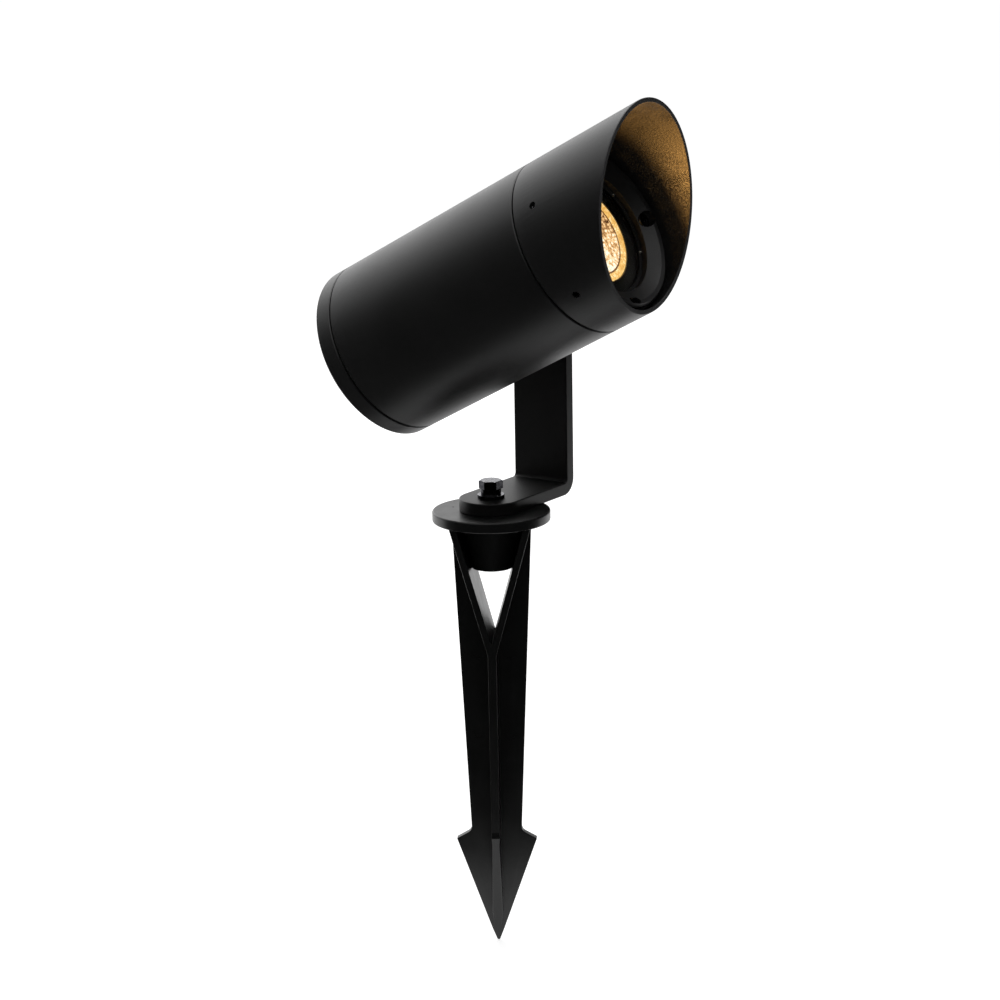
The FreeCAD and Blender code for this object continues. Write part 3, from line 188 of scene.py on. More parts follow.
class StageSettings(bpy.types.PropertyGroup):
    """Floor, light and camera."""

    sky: bpy.props.FloatProperty(
        name="Sky", description="Even light from all round",
        min=0.0, max=2.0, default=0.5,
    )
    floor_colour: bpy.props.FloatVectorProperty(
        name="Floor colour", description="Colour of the pale floor",
        subtype="COLOR", size=3, min=0.0, max=1.0, default=(0.8, 0.8, 0.8),
    )
    floor_glow: bpy.props.FloatProperty(
        name="Floor whiteness",
        description="What is added to the floor where it is looked at",
        min=0.0, max=1.0, default=0.62,
    )
    top_power: bpy.props.FloatProperty(
        name="Top light", description="Power of the soft box above the lamp",
        unit="POWER", min=0.0, max=500.0, default=12.0,
    )
    rear_power: bpy.props.FloatProperty(
        name="Rear light", description="Power of the soft box behind the lamp's left",
        unit="POWER", min=0.0, max=500.0, default=3.5,
    )
    focal_length: bpy.props.FloatProperty(
        name="Focal length", description="Camera lens, in millimetres",
        min=10.0, max=500.0, default=95.3,
    )


class SpotlightSettings(bpy.types.PropertyGroup):
    """All the settings of the lamp."""

    coat: bpy.props.PointerProperty(
        type=CoatSettings, name="Coat", description="Powder coat on the metal"
    )
    moulding: bpy.props.PointerProperty(
        type=MouldingSettings, name="Moulding", description="Plastic of the spike"
    )
    optic: bpy.props.PointerProperty(
        type=OpticSettings, name="Optic", description="Lens and light"
    )
    hood: bpy.props.PointerProperty(
        type=HoodSettings, name="Hood", description="Seat of the hood"
    )
    stage: bpy.props.PointerProperty(
        type=StageSettings, name="Stage", description="Floor, light and camera"
    )


# ------------------------------------------------------------------ shader maths


class Shade:
    """A shader socket that can stand in a sum: each sign adds its Math node."""

    def __init__(self, finish, socket):
        self.finish = finish
        self.socket = socket

    def maths(self, operation, first, second):
        settings = {"operation": operation}
        return self.finish.node("ShaderNodeMath", settings, {0: first, 1: second})

    def __add__(self, other):
        return self.maths("ADD", self, other)

    def __radd__(self, other):
        return self.maths("ADD", other, self)

    def __sub__(self, other):
        return self.maths("SUBTRACT", self, other)

    def __rsub__(self, other):
        return self.maths("SUBTRACT", other, self)

    def __mul__(self, other):
        return self.maths("MULTIPLY", self, other)

    def __rmul__(self, other):
        return self.maths("MULTIPLY", other, self)

    def __gt__(self, other):
        return self.maths("GREATER_THAN", self, other)


class Finish:
    """A node tree as it is written, with one way to add a node."""

    def __init__(self, tree):
        self.tree = tree
        tree.nodes.clear()

    def node(self, kind, settings=None, sockets=None, output=0):
        """Add a node: its settings first, then the values or links of its sockets."""
        made = self.tree.nodes.new(kind)
        for name, value in (settings or {}).items():
            if name == "stops":
                place_stops(made.color_ramp, value)
            else:
                setattr(made, name, value)
        for key, value in (sockets or {}).items():
            if isinstance(value, Shade):
                self.tree.links.new(value.socket, made.inputs[key])
            else:
                made.inputs[key].default_value = value
        return Shade(self, made.outputs[output]) if made.outputs else None

    def place(self):
        """Position on the piece, which stays with it when it moves."""
        return self.node("ShaderNodeTexCoord", output="Object")

    def noise(self, where, size, detail=2.0):
        """Noise from 0 to 1 whose features are about that size, in metres."""
        sockets = {"Vector": where, "Scale": 1.0 / size, "Detail": detail}
        return self.node("ShaderNodeTexNoise", None, sockets, "Fac")

    def mix(self, share, first, second):
        """One colour turning into another."""
        settings = {"data_type": "RGBA"}
        sockets = {0: share, 6: opaque(first), 7: opaque(second)}
        return self.node("ShaderNodeMix", settings, sockets, 2)

    def ramp(self, value, stops):
        """A value spread over a run of colours."""
        return self.node("ShaderNodeValToRGB", {"stops": stops}, {"Fac": value}, "Color")

    def vector(self, operation, first, second=(0, 0, 0), output="Vector"):
        settings = {"operation": operation}
        return self.node("ShaderNodeVectorMath", settings, {0: first, 1: second}, output)

    def bump(self, height, depth, strength=1.0):
        sockets = {"Height": height, "Distance": depth, "Strength": strength}
        return self.node("ShaderNodeBump", None, sockets, "Normal")

    def surface(self, **sockets):
        """The main shader. Its sockets are named with _ for a space."""
        named = {name.replace("_", " "): value for name, value in sockets.items()}
        return self.node("ShaderNodeBsdfPrincipled", None, named)


def opaque(colour):
    """A colour with its alpha, or the link as it is."""
    return colour if isinstance(colour, Shade) else (*tuple(colour)[:3], 1.0)


def place_stops(ramp, stops):
    """Set a ramp's stops from (place, colour) pairs."""
    while len(ramp.elements) < len(stops):
        ramp.elements.new(0.5)
    for element, (where, colour) in zip(ramp.elements, stops):
        element.position = where
        element.color = opaque(colour)


def scaled(colour, share):
    """A colour made darker or lighter."""
    return tuple(channel * share for channel in tuple(colour)[:3])


def make_material(name, recipe, *facts, **more):
    """A material whose surface the recipe writes."""
    material = bpy.data.materials.new(name)
    material.use_nodes = True
    finish = Finish(material.node_tree)
    surface = recipe(finish, *facts, **more)
    finish.node("ShaderNodeOutputMaterial", None, {"Surface": surface})
    return material


# ------------------------------------------------------------------ finishes


def hood_coat(finish, coat, seat):
    """The hood's coat, coarser and more matt on its inner wall, and painted paler round
    its mouth's edge as a painted highlight.
    """
    where = finish.place()
    pivot = tuple(on_head(0))
    axis = tuple(HEAD.to_3x3() @ Vector((1, 0, 0)))
    arm = finish.vector("SUBTRACT", where, pivot)
    off = finish.vector("CROSS_PRODUCT", arm, axis)
    inner = 1.0 - (finish.vector("LENGTH", off, output="Value") > HOOD_WALL_MIDDLE * MM)
    across, up = MOUTH_SLOPE * math.sin(seat.turn), -MOUTH_SLOPE * math.cos(seat.turn)
    outward = tuple(HEAD.to_3x3() @ Vector((1, across, up)))
    lip_start = (MOUTH_MIDDLE - LIP_DEPTH) * MM - seat.trim
    # The band at the mouth's edge is masked here for a painted highlight.
    painted_lip_highlight = finish.vector("DOT_PRODUCT", arm, outward, "Value") > lip_start
    grain = finish.noise(where, coat.grain, 3.0)
    clumps = finish.noise(where, coat.grain * 2.4, 2.0)
    patches = finish.noise(where, 0.006, 3.0)
    waves = finish.noise(where, coat.peel)
    tone = grain * 0.35 + clumps * 0.4 + patches * 0.25
    colour = finish.mix(tone, scaled(coat.colour, 0.5), scaled(coat.colour, 1.9))
    # Painted highlight: the band at the mouth's edge is painted paler all round.
    colour = finish.mix(painted_lip_highlight, colour, scaled(coat.colour, 5.5))
    matt = inner * (0.1 + (clumps - 0.5) * 0.5 + (patches - 0.5) * 0.25)
    height = grain * 0.6 + waves + inner * clumps * 5.0
    return finish.surface(
        Base_Color=colour,
        Roughness=coat.roughness + matt + (grain - 0.5) * 0.14,
        Specular_IOR_Level=0.5,
        Normal=finish.bump(height, 0.00004, 0.6),
    )


def satin_coat(finish, coat, lift=1.0):
    """Fine powder coat: small grain on soft waves, a little uneven in its gloss."""
    where = finish.place()
    grain = finish.noise(where, coat.grain, 3.0)
    waves = finish.noise(where, coat.peel)
    patches = finish.noise(where, 0.03)
    speck = finish.noise(where, coat.grain * 0.45, 1.0)
    tone = grain * 0.55 + patches * 0.45
    # lift scales the coat's colour; below 1 it darkens it as painted shade.
    colour = finish.mix(
        tone, scaled(coat.colour, 0.62 * lift), scaled(coat.colour, 1.5 * lift)
    )
    return finish.surface(
        Base_Color=colour,
        Roughness=coat.roughness + (patches - 0.5) * 0.1 + (speck - 0.5) * 0.16,
        Specular_IOR_Level=0.5,
        Normal=finish.bump(grain * 0.6 + waves + speck * 0.3, 0.00004, 0.5),
    )


def moulded_plastic(finish, moulding, gate):
    """Spark-eroded moulded plastic with faint flow lines and the mark of its gate: a rough
    dent, its colour darkened as painted shade.
    """
    where = finish.place()
    gate_radius = 0.00055
    off_gate = finish.vector("DISTANCE", where, gate, "Value")
    gate_dent_and_shade = 1.0 - (off_gate > gate_radius)
    stretched = finish.node(
        "ShaderNodeMapping", None, {"Vector": where, "Scale": (1.0, 1.0, 0.12)}
    )
    flow = finish.noise(stretched, 0.004, 3.0)
    texture = finish.noise(where, 0.00035, 2.0)
    scuffs = finish.noise(where, 0.012, 4.0)
    tone = flow * 0.6 + scuffs * 0.4
    colour = finish.mix(
        tone, scaled(moulding.colour, 0.65), scaled(moulding.colour, 1.45)
    )
    uneven = (scuffs - 0.5) * 0.16 + (flow - 0.5) * 0.08
    return finish.surface(
        # The gate's dent is painted near black: painted shade, on top of its real dent and
        # roughness.
        Base_Color=finish.mix(gate_dent_and_shade, colour, (0.001, 0.001, 0.001)),
        Roughness=moulding.roughness + uneven + gate_dent_and_shade * 0.6,
        Specular_IOR_Level=0.5,
        Normal=finish.bump(texture + flow * 0.4 - gate_dent_and_shade * 6.0, 0.00003, 0.5),
    )


def black_zinc(finish):
    """Black zinc plating: glossy and blotched, with a painted highlight that makes faces
    looking up pale.
    """
    where = finish.place()
    facing = finish.node("ShaderNodeTexCoord", output="Normal")
    # Faces that look up get a paler colour: a painted highlight of the light from above.
    painted_top_highlight = finish.vector("DOT_PRODUCT", facing, (0, 0, 1), "Value") > 0.8
    streaks = finish.noise(where, 0.0012, 3.0)
    bright = finish.mix(streaks, (0.16, 0.16, 0.165), (0.75, 0.75, 0.76))
    blotches = finish.noise(where, 0.0016, 3.0)
    scratches = finish.noise(
        finish.node("ShaderNodeMapping", None, {"Vector": where, "Scale": (1, 1, 9)}),
        0.0009,
    )
    colour = finish.ramp(
        blotches,
        [
            (0.3, (0.02, 0.02, 0.022)),
            (0.52, (0.05, 0.05, 0.054)),
            (0.75, (0.11, 0.11, 0.114)),
        ],
    )
    return finish.surface(
        Base_Color=finish.mix(painted_top_highlight, colour, bright),
        Metallic=1.0,
        Specular_Tint=(0.6, 0.6, 0.62, 1.0),
        Roughness=0.22 + (blotches - 0.5) * 0.16 + (scratches - 0.5) * 0.1,
        Normal=finish.bump(scratches, 0.00001, 0.4),
    )


def stainless(finish):
    """Stainless steel with fine brush marks."""
    where = finish.place()
    brushing = finish.noise(
        finish.node("ShaderNodeMapping", None, {"Vector": where, "Scale": (1, 12, 12)}),
        0.002,
        3.0,
    )
    marks = finish.noise(where, 0.003, 4.0)
    return finish.surface(
        Base_Color=finish.mix(marks, (0.5, 0.5, 0.49), (0.66, 0.66, 0.65)),
        Metallic=1.0,
        Roughness=0.26 + (brushing - 0.5) * 0.2,
        Normal=finish.bump(brushing, 0.00001, 0.4),
    )


def clear_glass(finish):
    """Toughened glass with a trace of wiping."""
    wiping = finish.noise(finish.place(), 0.012, 4.0)
    return finish.surface(
        Base_Color=(0.97, 0.99, 0.98, 1.0),
        Roughness=0.01 + wiping * 0.03,
        IOR=1.5,
        Transmission_Weight=1.0,
    )


def lit_optic(finish, optic, centre, upward):
    """Clear moulded lens, lit from behind: a bright band round a pebbled middle."""
    where = finish.place()
    from_centre = finish.vector("SUBTRACT", where, tuple(centre))
    up = finish.vector("DOT_PRODUCT", from_centre, tuple(upward), "Value")
    across = finish.vector("DOT_PRODUCT", from_centre, (0, 1, 0), "Value")
    flat = finish.node("ShaderNodeCombineXYZ", None, {"X": up, "Y": across})
    out = finish.vector("LENGTH", flat, output="Value")
    sparkle = finish.node(
        "ShaderNodeTexVoronoi", {"feature": "F1"},
        {"Vector": where, "Scale": 1.0 / optic.pebble_pitch, "Randomness": 0.8},
        "Distance",
    )
    shimmer = finish.noise(where, 0.0011, 3.0)
    broad = finish.noise(where, 0.007)
    pebbles = finish.ramp(
        sparkle * 0.6 + shimmer * 0.8 + broad * 0.6 + up * 14.0 - 0.44,
        [
            (0.26, (1.0, 0.95, 0.78)),
            (0.46, (0.95, 0.6, 0.28)),
            (0.66, (0.45, 0.22, 0.08)),
            (0.88, (0.06, 0.02, 0.006)),
        ],
    )
    band = finish.ramp(
        shimmer * 0.7 + broad * 0.6,
        [(0.5, (0.7, 0.36, 0.08)), (0.66, (0.85, 0.5, 0.15)), (0.84, (1.0, 0.9, 0.55))],
    )
    groove = (0.12, 0.045, 0.012)
    inside = finish.mix(out > GROOVE_INSIDE * MM, pebbles, groove)
    glow = finish.mix(out > GROOVE_OUTSIDE * MM, inside, band)
    return finish.surface(
        Base_Color=(0.12, 0.09, 0.06, 1.0),
        Roughness=0.12 + shimmer * 0.1,
        Emission_Color=glow,
        Emission_Strength=optic.strength,
    )


def grained(finish, colour, roughness, grain, relief, spread=0.3, gloss=0.5):
    """A plain material with its own fine grain and slight change of tone."""
    where = finish.place()
    fine = finish.noise(where, grain)
    broad = finish.noise(where, grain * 14.0, 3.0)
    return finish.surface(
        Base_Color=finish.mix(
            fine * 0.4 + broad * 0.6,
            scaled(colour, 1.0 - spread),
            scaled(colour, 1.0 + spread),
        ),
        Roughness=roughness + (broad - 0.5) * 0.2,
        Specular_IOR_Level=gloss,
        Normal=finish.bump(fine, relief, 0.6),
    )


def circuit_board(finish):
    """White solder mask with paler copper pads showing through."""
    where = finish.place()
    pads_per_metre = 260.0
    pads = finish.node(
        "ShaderNodeTexVoronoi", {"feature": "F1", "distance": "CHEBYCHEV"},
        {"Vector": where, "Scale": pads_per_metre}, "Distance",
    )
    dust = finish.noise(where, 0.004, 4.0)
    mask = finish.mix(dust, (0.72, 0.72, 0.7), (0.85, 0.85, 0.83))
    return finish.surface(
        Base_Color=finish.mix(pads > 0.42, mask, (0.62, 0.5, 0.3)),
        Roughness=0.35 + dust * 0.15,
        Normal=finish.bump(pads, 0.00002, 0.4),
    )


def phosphor(finish, optic):
    """Yellow phosphor of the light source, lit."""
    speck = finish.noise(finish.place(), 0.0006, 2.0)
    return finish.surface(
        Base_Color=finish.mix(speck, (0.8, 0.6, 0.12), (0.95, 0.78, 0.25)),
        Roughness=0.5 + speck * 0.2,
        Emission_Color=finish.mix(speck, (1.0, 0.7, 0.3), (1.0, 0.85, 0.5)),
        Emission_Strength=optic.strength,
    )


def all_finishes(settings):
    """The recipe of each of the record's material slots."""
    upward = HEAD.to_3x3() @ Vector((0, 0, 1))
    coat = settings.coat
    flange_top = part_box("ground_spike")[1].z
    gate = (-0.01845, -0.00506, flange_top)
    return {
        "powder_coat": (satin_coat, coat),
        "hood_coat": (hood_coat, coat, settings.hood),
        # The bar's coat is the powder coat made darker by lift 0.55: painted shade.
        "bar_coat": (satin_coat, coat, 0.55),
        "spike_plastic": (moulded_plastic, settings.moulding, gate),
        "black_steel": (black_zinc,),
        "steel": (stainless,),
        "glass": (clear_glass,),
        "lens_clear": (lit_optic, settings.optic, on_head(OPTIC_FRONT), upward),
        "emitter": (phosphor, settings.optic),
        "dark_plastic": (grained, (0.034, 0.032, 0.03), 0.42, 0.0005, 0.00002),
        "rubber_black": (grained, (0.012, 0.012, 0.012), 0.62, 0.0007, 0.00002, 0.4, 0.35),
        "nylon_black": (grained, (0.014, 0.014, 0.015), 0.38, 0.0006, 0.00002, 0.35),
        "board_white": (circuit_board,),
        "thermal_grey": (grained, (0.2, 0.22, 0.26), 0.8, 0.0004, 0.00004, 0.15, 0.3),
        "driver_case": (grained, (0.62, 0.62, 0.6), 0.3, 0.0012, 0.00001, 0.06),
        "terminal_pale": (grained, (0.66, 0.66, 0.6), 0.36, 0.0009, 0.00001, 0.08),
    }


def finish_of(slot):
    """The material of a slot, made when it is first asked for."""
    name = f"finish_{slot}"
    if name not in bpy.data.materials:
        settings = bpy.context.scene.spotlight
        make_material(name, *all_finishes(settings)[slot])
    return bpy.data.materials[name]


# ------------------------------------------------------------------ mesh helpers

SLOT_OF = {part["node"]: part["material_slot"] for part in frame["record"]["subparts"]}
BODY_OF = {
    node: body
    for body, members in frame["record"]["behaviour"]["bodies"].items()
    for node in members
}
WELD = 1e-6
FLAT_ANGLE = math.radians(0.05)
SMOOTH_ANGLE = math.radians(38)
SHARP_ANGLE = math.radians(24)


def add_piece(name, build, body, slot, replaced=(), smooth=SMOOTH_ANGLE):
    """Make a named piece from a bmesh, dressed and riding on its body."""
    mesh = bpy.data.meshes.new(name)
    bmesh.ops.recalc_face_normals(build, faces=build.faces)
    build.to_mesh(mesh)
    build.free()
    for face in mesh.polygons:
        face.use_smooth = True
    mesh.set_sharp_from_angle(angle=smooth)
    mesh.materials.append(finish_of(slot))
    piece = bpy.data.objects.new(name, mesh)
    bpy.context.scene.collection.objects.link(piece)
    evened = piece.modifiers.new("even shading", "WEIGHTED_NORMAL")
    evened.keep_sharp = True
    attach(piece, body)
    if replaced:
        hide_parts(*replaced)
    return piece


def breadth(face):
    """How wide a face is, about."""
    return 2.0 * face.calc_area() / max(face.calc_perimeter(), WELD)


def joined_mesh(node):
    """A copy of a solid's mesh whose faces share their corners."""
    build = bmesh.new()
    build.from_mesh(frame["nodes"][node].data)
    bmesh.ops.remove_doubles(build, verts=build.verts, dist=WELD)
    return build


def rounded_copy(node, name, width, segments=2):
    """A piece in a CAD solid's place whose sharp edges are rounded."""
    build = joined_mesh(node)
    bmesh.ops.dissolve_limit(
        build, angle_limit=FLAT_ANGLE, verts=build.verts, edges=build.edges
    )
    chosen = []
    for edge in build.edges:
        if len(edge.link_faces) != 2 or edge.calc_face_angle(0.0) < SHARP_ANGLE:
            continue
        if min(breadth(face) for face in edge.link_faces) > width * 1.1:
            chosen.append(edge)
    bmesh.ops.bevel(
        build, geom=chosen, offset=width, offset_type="OFFSET", segments=segments,
        profile=0.5, affect="EDGES", clamp_overlap=False,
    )
    return add_piece(name, build, BODY_OF[node], SLOT_OF[node], [node])


def cut_away(piece, shape):
    """Cut a closed shape out of a piece for good."""
    mesh = bpy.data.meshes.new("cutter")
    bmesh.ops.recalc_face_normals(shape, faces=shape.faces)
    shape.to_mesh(mesh)
    shape.free()
    cutter = bpy.data.objects.new("cutter", mesh)
    bpy.context.scene.collection.objects.link(cutter)
    cut = piece.modifiers.new("cut", "BOOLEAN")
    cut.object = cutter
    cut.solver = "EXACT"
    shown = piece.evaluated_get(bpy.context.evaluated_depsgraph_get())
    shaped = bpy.data.meshes.new_from_object(shown)
    piece.modifiers.remove(cut)
    piece.data = shaped
    bpy.data.objects.remove(cutter)


def lathe(profile, segments, lift=None):
    """A closed solid turned about the head's axis from (along, radius) points in mm.

    lift gives how far a point stands forward of the profile.
    """
    build = bmesh.new()
    rings = []
    for along, radius in profile:
        ring = []
        for step in range(segments):
            angle = 2.0 * math.pi * step / segments
            across, up = radius * math.cos(angle), radius * math.sin(angle)
            forward = lift(along, across, up) if lift else 0.0
            ring.append(build.verts.new(on_head(along + forward, across, up)))
        rings.append(ring)
    for first, second in zip(rings, rings[1:] + rings[:1]):
        for step in range(segments):
            after = (step + 1) % segments
            build.faces.new((first[step], first[after], second[after], second[step]))
    bmesh.ops.remove_doubles(build, verts=build.verts, dist=WELD * 5)
    return build


def rod(stations, across, up, radius, segments=32):
    """A closed round rod along the head, in millimetres."""
    build = bmesh.new()
    rings = []
    for along in stations:
        ring = []
        for step in range(segments):
            angle = 2.0 * math.pi * step / segments
            aside, over = radius * math.cos(angle), radius * math.sin(angle)
            ring.append(build.verts.new(on_head(along, across + aside, up + over)))
        rings.append(ring)
    for step in range(segments):
        after = (step + 1) % segments
        build.faces.new((rings[0][step], rings[0][after], rings[1][after], rings[1][step]))
    for ring in rings:
        build.faces.new(ring)
    return build


def smooth_step(low, high, value):
    """From 0 to 1 between two values, with soft ends."""
    share = min(max((value - low) / (high - low), 0.0), 1.0)
    return share * share * (3.0 - 2.0 * share)


# ------------------------------------------------------------------ pieces


class DressFrame(bpy.types.Operator):
    """Give every solid of the frame the finish of its slot"""

    bl_idname = "spotlight.dress_frame"
    bl_label = "Finish the frame"

    def execute(self, context):
        for name, piece in frame["nodes"].items():
            for place in piece.material_slots:
                place.material = finish_of(SLOT_OF[name])
        return {"FINISHED"}


class MakeSpike(bpy.types.Operator):
    """Round the moulded edges of the ground spike"""

    bl_idname = "spotlight.make_spike"
    bl_label = "Ground spike"

    def execute(self, context):
        moulding = context.scene.spotlight.moulding
        rounded_copy("ground_spike", "moulded_spike", moulding.edge)
        return {"FINISHED"}


class MakeFasteners(bpy.types.Operator):
    """Round the edges of the bolts, washers, nuts and small screws"""

    bl_idname = "spotlight.make_fasteners"
    bl_label = "Bolts and screws"

    # The foot's bolt head stands a little higher, on a narrow neck.
    head_raise = 1.2 * MM
    neck_share = 0.86
    head_margin = 0.1 * MM

    def execute(self, context):
        self.round_all()
        low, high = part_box("base_spring_washer")
        neck = high.z - low.z
        bolt = bpy.data.objects["foot_hexagon_bolt"]
        for vertex in bolt.data.vertices:
            if vertex.co.z > high.z - self.head_margin:
                vertex.co.z += self.head_raise
        washer = bpy.data.objects["foot_spring_washer"]
        middle = (low + high) / 2
        for vertex in washer.data.vertices:
            vertex.co.x = middle.x + (vertex.co.x - middle.x) * self.neck_share
            vertex.co.y = middle.y + (vertex.co.y - middle.y) * self.neck_share
            vertex.co.z += self.head_raise * (vertex.co.z - low.z) / neck
        return {"FINISHED"}

    def round_all(self):
        for node, name, width in (
            ("base_bolt", "foot_hexagon_bolt", 0.00016),
            ("base_spring_washer", "foot_spring_washer", 0.00022),
            ("base_flat_washer", "foot_flat_washer", 0.0002),
            ("base_nut", "foot_nut", 0.0002),
            ("tilt_bolt", "pivot_hexagon_bolt", 0.00016),
            ("tilt_spring_washer", "pivot_spring_washer", 0.00022),
            ("tilt_flat_washer", "pivot_flat_washer", 0.0002),
            ("bezel_screws", "bezel_socket_screws", 0.00018),
            ("rear_cap_screws", "rear_socket_screws", 0.00025),
        ):
            rounded_copy(node, name, width)


class MakeGland(bpy.types.Operator):
    """Round the edges of the cable gland"""

    bl_idname = "spotlight.make_gland"
    bl_label = "Cable gland"

    def execute(self, context):
        rounded_copy("gland_dome_nut", "gland_cap_nut", 0.0003)
        rounded_copy("gland_body", "gland_hexagon_body", 0.0003)
        return {"FINISHED"}


class MakeHood(bpy.types.Operator):
    """Turn the hood and its grub screws a little on the spigot"""

    bl_idname = "spotlight.make_hood"
    bl_label = "Hood and grub screws"

    # Stations along the head in millimetres, on both sides of the grub holes and at the
    # mouth's nearest point. Angles are from the hood's top and from its bottom.
    hole_stations = (64.9, 69.3)
    margin = 0.1
    mouth_start = 73.0
    hole_angle = math.radians(61)
    hole_reach = math.radians(2.6)
    wall_reach = math.radians(9)

    def execute(self, context):
        hood = context.scene.spotlight.hood
        axis = HEAD.to_3x3() @ Vector((1, 0, 0))
        to_head = HEAD.inverted()
        for node, name in (
            ("hood", "turned_hood"),
            ("hood_grub_screws", "turned_grub_screws"),
        ):
            build = joined_mesh(node)
            for station in self.hole_stations:
                bmesh.ops.bisect_plane(
                    build, geom=build.verts[:] + build.edges[:] + build.faces[:],
                    dist=WELD, plane_co=on_head(station), plane_no=axis,
                )
            for vertex in build.verts:
                place = to_head @ vertex.co
                turn = hood.turn + self.slide(place, hood.spread)
                if place.x / MM > self.mouth_start:
                    place.x -= hood.trim
                vertex.co = HEAD @ (Matrix.Rotation(turn, 4, "X") @ place)
            add_piece(name, build, "head", SLOT_OF[node], [node])
        return {"FINISHED"}

    def slide(self, place, spread):
        """How far a point round a grub hole slides along the wall, as an angle."""
        low, high = self.hole_stations
        if not low - self.margin < place.x / MM < high + self.margin:
            return 0.0
        off_hole = abs(math.atan2(abs(place.y), abs(place.z)) - self.hole_angle)
        share = (self.wall_reach - off_hole) / (self.wall_reach - self.hole_reach)
        side = math.copysign(1.0, place.y * place.z)
        return spread * side * min(max(share, 0.0), 1.0)


class MakeBezel(bpy.types.Operator):
    """Join the lobes of the bezel ring's keyholes and set the studs in its bore"""

    bl_idname = "spotlight.make_bezel"
    bl_label = "Bezel ring"

    stud_radius = 0.75
    stud_station = 68.75
    stud_axis_radius = 29.25
    stud_angles = (57.8, 116.8, 243.2, 302.2)
    ring_smooth = math.radians(8)
    keyhole_radius = 35.6
    keyhole_angles = (171.0, 351.0)
    neck_radius = 1.45
    neck_stations = (71.2, 80.0)

    def execute(self, context):
        ring = add_piece(
            "dished_bezel", joined_mesh("bezel_ring"), "head", "powder_coat",
            ["bezel_ring"], self.ring_smooth,
        )
        for angle in self.keyhole_angles:
            turn = math.radians(angle)
            across = -self.keyhole_radius * math.sin(turn)
            up = self.keyhole_radius * math.cos(turn)
            cut_away(ring, rod(self.neck_stations, across, up, self.neck_radius))
        build = bmesh.new()
        for angle in self.stud_angles:
            turn = math.radians(angle)
            across = self.stud_axis_radius * math.sin(turn)
            up = self.stud_axis_radius * math.cos(turn)
            place = Matrix.Translation(on_head(self.stud_station, across, up))
            bmesh.ops.create_uvsphere(
                build, u_segments=20, v_segments=12,
                radius=self.stud_radius * MM, matrix=place @ HEAD.to_3x3().to_4x4(),
            )
        add_piece("bezel_studs", build, "head", "steel")
        return {"FINISHED"}


class MakeOptic(bpy.types.Operator):
    """Make the pebbled lens and the light that it throws"""

    bl_idname = "spotlight.make_optic"
    bl_label = "Lens and light"

    # Sizes in millimetres; the profiles are (station, radius) pairs.
    segments = 216
    face_steps = 46
    light_size = 34.0
    light_gap = 1.2
    lens_radius = 22.2
    rim = 1.7
    band_start = 18.7
    pebble_end = 17.8
    groove_depth = 1.1
    bowl_depth = 1.6
    flank = ((60.9, 21.4), (57.6, 19.9), (52.0, 17.2), (47.6, 14.1), (44.7, 9.2))
    pocket = ((44.7, 7.6), (50.7, 6.8), (52.2, 0.0))

    def execute(self, context):
        optic = context.scene.spotlight.optic
        pitch = optic.pebble_pitch / MM
        height = optic.pebble_height / MM

        def pebble(along, across, up):
            """Height of the pebbled face over its smooth bowl."""
            radius = math.hypot(across, up)
            if radius > self.pebble_end or along < OPTIC_FRONT - 3.0:
                return 0.0
            row_gap = pitch * math.sqrt(3) / 2
            nearest = 1e9
            row = round(up / row_gap)
            for near_row in (row - 1, row, row + 1):
                shift = pitch / 2 if near_row % 2 else 0.0
                column = round((across - shift) / pitch)
                for near_column in (column - 1, column, column + 1):
                    gap = math.hypot(
                        across - near_column * pitch - shift, up - near_row * row_gap
                    )
                    nearest = min(nearest, gap)
            dome = max(0.0, 1.0 - (nearest / (pitch * 0.58)) ** 2)
            return height * dome * smooth_step(0.0, 1.2, self.pebble_end - radius)

        front = OPTIC_FRONT
        face = []
        for step in range(self.face_steps + 1):
            radius = self.pebble_end * step / self.face_steps
            bowl = self.bowl_depth * (1.0 - (radius / self.pebble_end) ** 2)
            face.append((front - 0.7 - bowl, max(radius, 0.001)))
        profile = face + [
            (front - 0.9, self.pebble_end + 0.15),
            (front - self.groove_depth, self.pebble_end + 0.4),
            (front - 0.75, self.band_start),
            (front - 0.3, self.band_start + 0.6),
            (front - 0.05, self.band_start + 1.6),
            (front, self.band_start + 2.4),
            (front - 0.15, self.lens_radius - 0.3),
            (front - 0.45, self.lens_radius),
            (front - self.rim, self.lens_radius),
        ]
        profile += list(self.flank)
        profile += [(along, max(radius, 0.001)) for along, radius in self.pocket]
        lens = lathe(profile, self.segments, pebble)
        add_piece("pebbled_lens", lens, "head", "lens_clear", ["lens"])

        glow = bpy.data.lights.new("lens_light", "AREA")
        glow.shape = "DISK"
        glow.size = self.light_size * MM
        glow.energy = optic.power
        glow.color = optic.light
        glow.spread = optic.beam
        lamp = bpy.data.objects.new("lens_light", glow)
        bpy.context.scene.collection.objects.link(lamp)
        heading = HEAD.to_3x3() @ Vector((1, 0, 0))
        lamp.rotation_mode = "QUATERNION"
        lamp.rotation_quaternion = heading.to_track_quat("-Z", "Y")
        lamp.location = on_head(GLASS_FRONT + self.light_gap)
        lamp.visible_camera = False
        lamp.visible_glossy = True
        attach(lamp, "head")
        return {"FINISHED"}


# ------------------------------------------------------------------ stage


def white_where_seen(finish):
    """1 for a ray from the camera, a reflection or through glass, and 0 for any other."""
    rays = finish.node("ShaderNodeLightPath", output="Is Camera Ray")
    node = rays.socket.node
    glossy = Shade(finish, node.outputs["Is Glossy Ray"])
    through = Shade(finish, node.outputs["Is Transmission Ray"])
    total = rays + glossy + through
    return finish.node("ShaderNodeClamp", None, {"Value": total})


